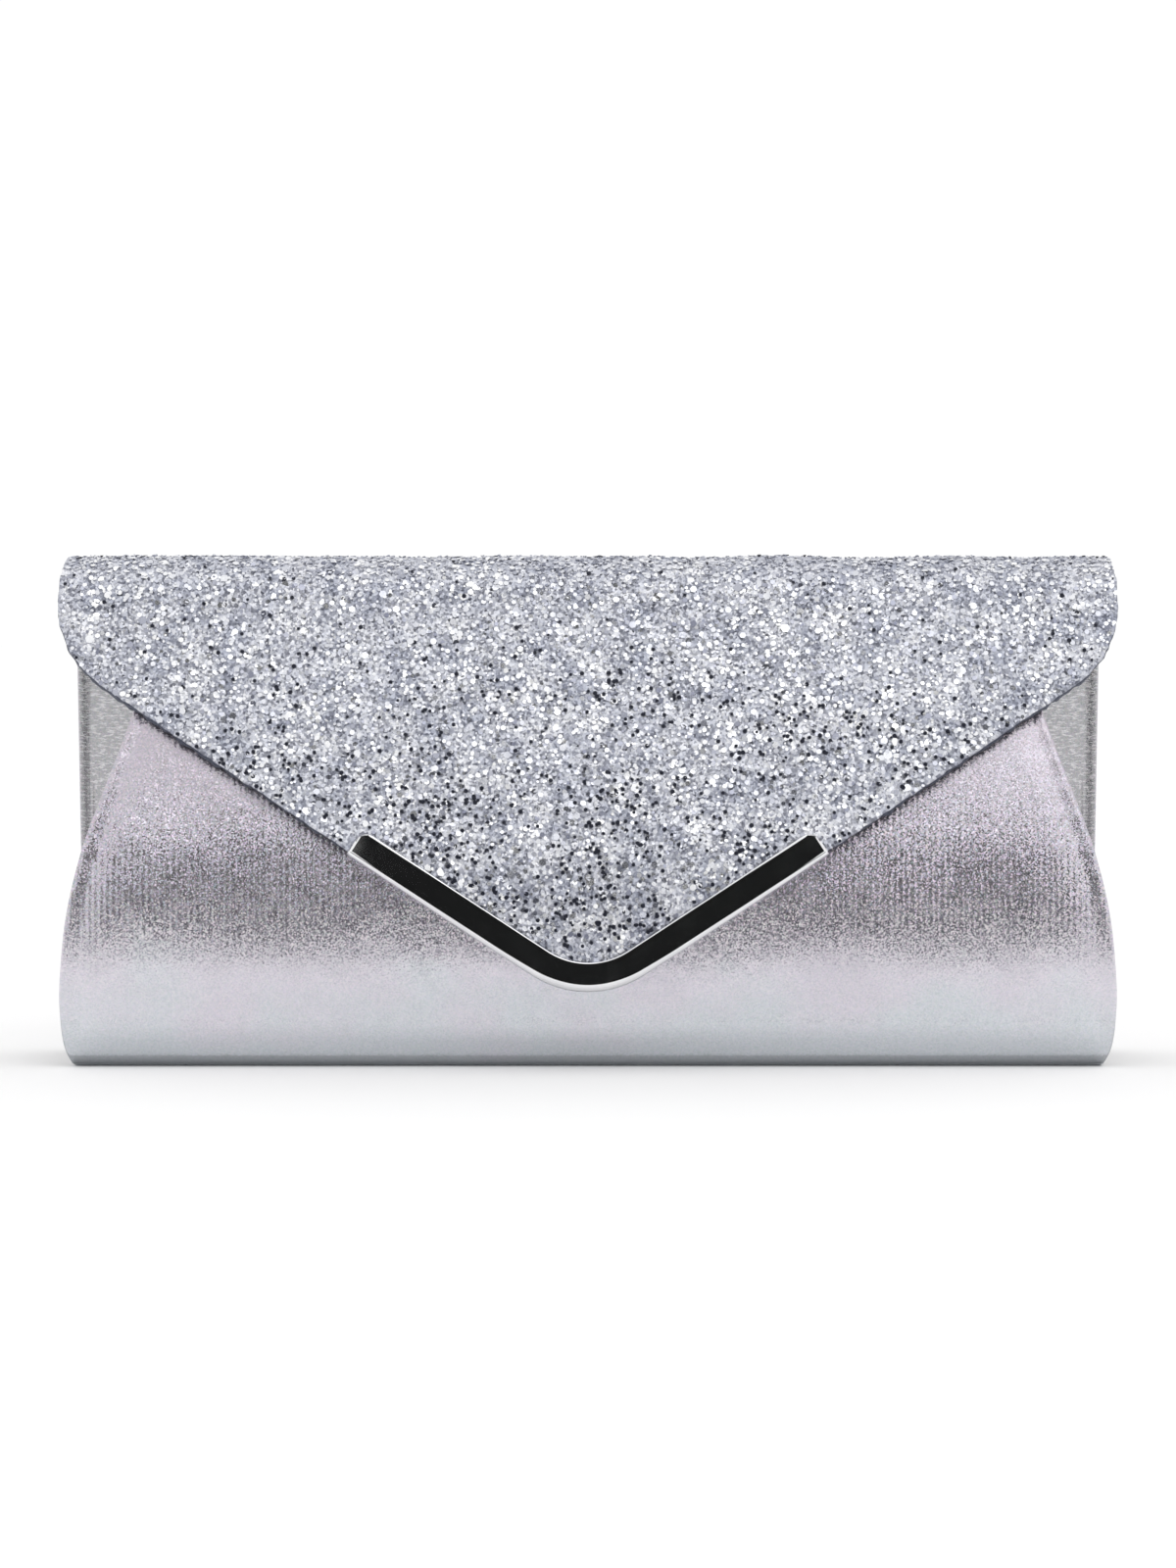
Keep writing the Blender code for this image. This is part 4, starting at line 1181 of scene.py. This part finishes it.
def flap_lining():
    """Lining from just inside the back's top edge, over the fold and down the flap's underside."""
    outer = flap_section()
    outer = outer[int(np.argmax(outer[:, 1] > BACK_TOP_Z - 1.0 * MM)) :]
    inner = outer + normals_2d(outer) * FLAP
    inner = inner[inner[:, 1] > FLAP_TIP_Z + 2.0 * MM]
    widths = flap_widths(inner, FLAP_EDGE + 1.0 * MM)[:, None]
    x = widths * np.linspace(-1, 1, 120)
    s = np.arange(len(inner))[:, None] * FLAP_ROW
    lift = 0.05 * MM * undulation(x, s, 22 * MM, 71) * ease(widths - np.abs(x), 0, 10 * MM)
    p = raised(inner, x, -lift)
    uv = np.stack([x, np.broadcast_to(s, x.shape)], 2)
    piece = cloth("flap_lining_cloth", p, LINING, outward_normals(p, True), SATIN, uv)
    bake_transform(piece)
    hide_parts("flap_lining")


# Metal edge.

# Stations this far from each end follow the quarter round of the face's corner.
TRIM_END_STEPS = np.array([0, 0.08, 0.18, 0.3, 0.45, 0.65, 0.9, 1.2, 1.6, 2.0, 2.5, 3.0]) * MM
TRIM_EASE = 0.32 * MM
# Round the outer corner and the lip behind: (distance in, distance before the back), in millimetres.
TRIM_BACK = [(0, 1.0), (0.12, 0.5), (0.45, 0.1), (0.9, 0), (4.2, 0), (4.5, 0.15), (4.5, 0.7)]


def trim_stations():
    """Right to left along the V's outer edge: (point in X-Z, inward direction)."""
    start = np.array([FLAP_TIP_RADIUS * FLAP_SINE, FLAP_TIP_CENTRE_Z - FLAP_TIP_RADIUS * FLAP_COSINE])
    leg = np.array([FLAP_COSINE, FLAP_SINE])
    length = (TRIM_END_X - start[0]) / FLAP_COSINE
    right = []
    for back_off in np.concatenate([TRIM_END_STEPS, np.linspace(4.2 * MM, length, 24)[:-1]]):
        right.append((start + leg * (length - back_off), np.array([-FLAP_SINE, FLAP_COSINE])))
    middle = []
    for angle in np.linspace(FLAP_SLOPE, -FLAP_SLOPE, 41):
        inward = np.array([-math.sin(angle), math.cos(angle)])
        middle.append((np.array([0, FLAP_TIP_CENTRE_Z]) - inward * FLAP_TIP_RADIUS, inward))
    mirror = np.array([-1, 1])
    return right + middle + [(q * mirror, d * mirror) for q, d in right[::-1]]


def trim_profile(tip, level, reach, drop):
    """Closed section: (distance in from the edge, distance behind the flap's face, share of the flat face).

    Tip is a share from 0 to 1. Level is how far the flap's own curve would set the face's inner edge back
    from the wanted lie, reach the face's width here, and drop how far the end is eased back.
    """
    front = -TRIM_GAP - TRIM_WALL
    back = FLAP + TRIM_GAP + TRIM_WALL
    roll = (1.1 + 0.55 * tip) * MM
    inner_rise = 0.6 * max(level, 0.0)
    outer_rise = -min(level, 0.0) - 0.4 * max(level, 0.0)
    face_low, face_high = roll + 0.1 * MM, TRIM_FACE - TRIM_EASE
    inner_line = reach - TRIM_EASE
    section = [(reach, front + TRIM_WALL, None)]
    for inward, behind in ((0, 0.25), (0.08, 0.11), (0.22, 0.02)):
        section.append((reach - inward * MM, front + behind * MM - inner_rise + drop, None))
    for step in (0.0, 0.05, 0.5, 0.95, 1.0):
        d = inner_line + (face_low - inner_line) * step
        over = (face_high - d) / (face_high - face_low)
        section.append((d, front - inner_rise * (1 - over) - outer_rise * over + drop, over))
    for a in np.linspace(0, math.pi / 2, 8)[1:]:
        y = front - outer_rise + roll * (1 - math.cos(a)) + drop
        section.append((face_low - face_low * math.sin(a), y, 1.0))
    for inward, before in TRIM_BACK:
        section.append((inward * MM, back - before * MM, None))
    section.append((TRIM_WALL, back - TRIM_WALL, None))
    section.append((TRIM_WALL, front + TRIM_WALL, None))
    return section, face_low, face_high


def edge_y(z):
    return float(flap_y(max(z, FLAP_TIP_Z)))


def metal_edge():
    """The V channel, swept along the flap's edge. Its face narrows in a quarter round at each end."""
    stations = trim_stations()
    along = lengths(np.array([q for q, _ in stations]))
    vertices, uv = [], []
    for (point, inward), gone in zip(stations, along):
        tip = float(1 - ease(abs(point[0]), 6 * MM, 22 * MM))
        low_z = point[1] + inward[1] * 1.2 * MM
        high_z = low_z + inward[1] * (TRIM_FACE - 1.5 * MM)
        level = edge_y(high_z) - edge_y(low_z) - 0.3 * MM
        from_end = min(gone, along[-1] - gone)
        short = max(0.0, TRIM_CORNER - from_end)
        reach = TRIM_FACE - TRIM_CORNER + math.sqrt(TRIM_CORNER**2 - short**2)
        drop = 0.30 * MM * (1 - float(ease(from_end, 0, 0.38 * MM)))
        section, face_low, face_high = trim_profile(tip, level, reach, drop)
        outer_y = edge_y(point[1] + inward[1] * face_low)
        inner_y = edge_y(point[1] + inward[1] * face_high)
        for depth, behind, over in section:
            q = point + inward * depth
            y = edge_y(q[1]) if over is None else inner_y + (outer_y - inner_y) * over
            vertices.append((q[0], y + behind, q[1]))
            uv.append((gone, depth + behind))
    faces = lofted(len(stations), len(vertices) // len(stations))
    piece = make_object("metal_edge_channel", vertices, faces, uv, POLISHED)
    face_outward(piece, sharp_from=38)
    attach(piece, "flap")
    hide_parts("flap_edge_trim")


# Snap, strap rings and straps.

# (radius, distance out from the front) round the socket, and (radius, distance behind the flap's back)
# round the stud, both in millimetres.
SOCKET_SECTION = [
    (0, -2.3), (1.5, -2.3), (1.5, 0.3), (7, 0.3), (7, 1.4), (6.1, 1.75),
    (5.2, 1.55), (4.2, 1.9), (3.4, 2.0), (2.8, 1.8), (2.8, 0.9), (0, 0.9),
]
STUD_SECTION = [
    (0, -2.3), (1.5, -2.3), (1.5, 0), (6.4, 0), (7, 0.3), (7, 0.8),
    (6.2, 0.72), (5.8, 0.8), (1.7, 0.8), (1.45, 1.75), (0, 1.8),
]


def rounded(section, radius, steps=3):
    """A turned section with its outer corners eased by short arcs."""
    made = []
    for k, corner in enumerate(section):
        if corner[0] == 0:
            made.append(tuple(corner))
            continue
        a, b = section[k - 1] - corner, section[(k + 1) % len(section)] - corner
        la, lb = np.linalg.norm(a), np.linalg.norm(b)
        reach = min(radius, la * 0.4, lb * 0.4)
        start, end = corner + a / la * reach, corner + b / lb * reach
        for t in np.linspace(0, 1, steps + 1):
            made.append(tuple(start * (1 - t) ** 2 + corner * 2 * t * (1 - t) + end * t**2))
    return made


def snaps():
    socket = np.array(SOCKET_SECTION) * MM
    face = (0, float(front_y(SNAP_Z)), SNAP_Z)
    piece = turned("snap_socket_cap", rounded(socket, 0.25 * MM), face)
    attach(piece, "front")
    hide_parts("snap_socket")
    stud = np.array(STUD_SECTION) * [MM, -MM] - [0, FLAP + 0.5 * MM]
    face = (0, float(flap_y(SNAP_Z)), SNAP_Z)
    piece = turned("snap_stud_cap", rounded(stud, 0.2 * MM), face)
    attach(piece, "flap")
    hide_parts("snap_stud")


def strap_ring(side, name):
    """A D ring of round wire, whose straight bar lies along X in its strap."""
    bar, count, sides = RING_HALF_WIDTH - 0.8 * MM, 96, 14
    points = [(t * bar, 0.0) for t in np.linspace(1, -1, 12)]
    for a in np.linspace(0, math.pi, 50)[1:-1]:
        x = -RING_HALF_WIDTH * math.copysign(abs(math.cos(a)) ** 0.6, math.cos(a))
        points.append((x, -RING_DROP * math.sin(a)))
    loop = np.array(points + points[:1])
    along = lengths(loop)
    at = np.linspace(0, along[-1], count + 1)[:-1]
    loop = points_at(loop, along, at)
    for _ in range(2):
        loop = (np.roll(loop, 1, axis=0) + 2 * loop + np.roll(loop, -1, axis=0)) / 4
    path = np.stack([loop[:, 0] + side * RING_X, np.full(count, RING_Y), loop[:, 1] + RING_Z], 1)
    vertices, faces = tube(path, RING_WIRE, sides, closed=True)
    uv = [(at[k // sides], k % sides * 0.4 * MM) for k in range(len(vertices))]
    piece = make_object(f"strap_d_ring_{name}", vertices, faces, uv, NICKEL)
    face_outward(piece)
    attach(piece, f"ring_{name}")
    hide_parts(f"strap_ring_{name}")


def ring_strap(side, name):
    """A folded strap of the body fabric, from the mouth's seam round the ring's bar and up again."""
    rear_y = RING_Y + STRAP_LOOP_RADIUS
    hook = [
        (RING_Y + STRAP_LOOP_RADIUS * math.cos(a), RING_Z - STRAP_LOOP_RADIUS * math.sin(a))
        for a in np.linspace(0, math.radians(285), 26)
    ]
    rear = [(rear_y, z) for z in np.linspace(STRAP_TOP_Z, RING_Z, 12)[:-1]]
    path = resample(rear + hook, STRAP_ROW)
    path = path + normals_2d(path) * STRAP / 2
    x = np.broadcast_to(side * RING_X + STRAP_HALF_WIDTH * np.linspace(-1, 1, 20), (len(path), 20))
    p = raised(path, x, np.zeros(x.shape))
    s = np.arange(len(path))[:, None] * STRAP_ROW
    normal = outward_normals(p, centre=(side * RING_X, RING_Y, RING_Z))
    uv = np.stack([x, np.broadcast_to(s, x.shape)], 2)
    piece = cloth(f"ring_strap_{name}", p, STRAP, normal, LAME, uv)
    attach(piece, "shell")
    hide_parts(f"ring_tab_{name}")
    z = np.linspace(106.2, 110.4, 12) * MM
    y = np.full_like(z, rear_y - STRAP / 2 - 0.05 * MM)
    seams = [np.full_like(z, side * RING_X + x) for x in (-3.3 * MM, 3.3 * MM)]
    lines = [(np.stack([x, y, z], 1), (0, -1, 0)) for x in seams]
    row = stitches(f"ring_strap_stitches_{name}", lines, pitch=1.9 * MM, gap=0.6 * MM, radius=0.14 * MM)
    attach(row, "shell")


def anchor_stitches():
    """Two rows of stitches that hold the glitter cloth's foot to the back."""
    x = np.linspace(-119.5, 119.5, 200) * MM
    lines = []
    for z in (98.9 * MM, 101.4 * MM):
        y = float(back_y(z)) + ANCHOR_STAND + 0.30 * MM
        lines.append((straight_seam(x, y, z), (0, 0.99, 0.13)))
    row = stitches("anchor_stitches", lines, pitch=3.4 * MM, radius=0.24 * MM)
    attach(row, "shell")


def repaint(names, material):
    for name in names:
        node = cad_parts[name]
        for place in node.material_slots:
            place.material = material


body_wrap()
front_wrap()
mouth_binding()
for SIDE, NAME in ((-1, "left"), (1, "right")):
    gusset(SIDE, NAME)
    strap_ring(SIDE, NAME)
    ring_strap(SIDE, NAME)
linings()
pocket()
FLAP_GRID = flap_cover()
glitter_flakes(*FLAP_GRID)
flap_edge(*FLAP_GRID)
flap_lining()
metal_edge()
snaps()
anchor_stitches()
repaint(["back_board", "base_board", "front_board", "flap_board"], CARDBOARD)
repaint(["snap_socket_washer", "snap_stud_washer"], STEEL)


# Studio. The cards are only there to be reflected: the dark ones by the metal edge and the front's fabric,
# and the graded strips by the front's foot, where they are painted shade standing for the floor's contact
# shadow round the foot.

DARK = (0.012, 0.0125, 0.0125)
UPRIGHT, FLAT = (math.pi / 2, 0, 0), (0, 0, 0)
FOOT_SHADE_STRIPS = [(0.0045, 0.16), (0.004, 0.55), (0.010, 0.85), (0.018, 0.90), (0.05, 0.97)]
FOOT_STRIPS_START_Y = -13 * MM


def plane(name, size_x, size_y, centre, rotation, colour, roughness=0.9):
    """A plain rectangle of the studio's own, not part of the bag."""
    mesh = bpy.data.meshes.new(name)
    x, y = size_x / 2, size_y / 2
    mesh.from_pydata([(-x, -y, 0), (x, -y, 0), (x, y, 0), (-x, y, 0)], [], [(0, 1, 2, 3)])
    made = link(bpy.data.objects.new(name, mesh))
    made.location = centre
    made.rotation_euler = rotation
    paint = bpy.data.materials.new(name)
    paint.use_nodes = True
    shader = paint.node_tree.nodes["Principled BSDF"]
    shader.inputs["Base Color"].default_value = (*colour, 1)
    shader.inputs["Roughness"].default_value = roughness
    shader.inputs["Specular IOR Level"].default_value = 0.0
    mesh.materials.append(paint)
    return made


def card(name, size_x, size_y, centre, rotation, colour):
    made = plane(name, size_x, size_y, centre, rotation, colour)
    made.visible_camera = False
    made.visible_diffuse = False
    made.visible_shadow = False
    made.visible_transmission = False


def aim(made, centre, target):
    """Puts a lamp or camera at a place, looking at the target."""
    made.location = centre
    towards = Vector(target) - Vector(centre)
    made.rotation_euler = towards.to_track_quat("-Z", "Y").to_euler()


def studio():
    plane("studio_floor", 14, 14, (0, 0, 0), FLAT, (0.97, 0.97, 0.97), 0.6)
    card("dark_card", 0.92, 0.44, (0, -1.45, 0.22), UPRIGHT, DARK)
    card("dark_floor_card", 0.76, 1.235, (0, -0.8325, 0.002), FLAT, DARK)
    near = FOOT_STRIPS_START_Y
    # Painted shade: graded grey strips round the foot, seen only in reflections, for the floor's contact
    # shadow there.
    for width, grey in FOOT_SHADE_STRIPS:
        name = f"foot_shade_card_{round(grey * 100)}"
        card(name, 0.32, width, (0, near - width / 2, 0.0006), FLAT, (grey, grey, grey))
        near -= width
    world = bpy.data.worlds.new("studio")
    world.use_nodes = True
    sky = world.node_tree.nodes["Background"]
    sky.inputs["Color"].default_value = (1, 1, 1, 1)
    sky.inputs["Strength"].default_value = 1.04
    bpy.context.scene.world = world
    light = bpy.data.lights.new("front", "AREA")
    light.shape = "RECTANGLE"
    light.size, light.size_y = 1.2, 0.9
    light.energy = 2.6
    aim(link(bpy.data.objects.new("front", light)), (0.4, -1.1, 1.3), (0, 0, 0.05))


def camera():
    data = bpy.data.cameras.new("camera")
    data.lens = 108.5
    data.sensor_width = 36
    data.clip_end = 60
    made = link(bpy.data.objects.new("camera", data))
    distance, elevation = 1.1, math.radians(2.5)
    target = Vector((0.0, -0.03, 0.0671))
    aim(made, target + Vector((0, -math.cos(elevation), math.sin(elevation))) * distance, target)
    bpy.context.scene.camera = made


studio()
camera()
bpy.context.scene.view_settings.view_transform = "Standard"
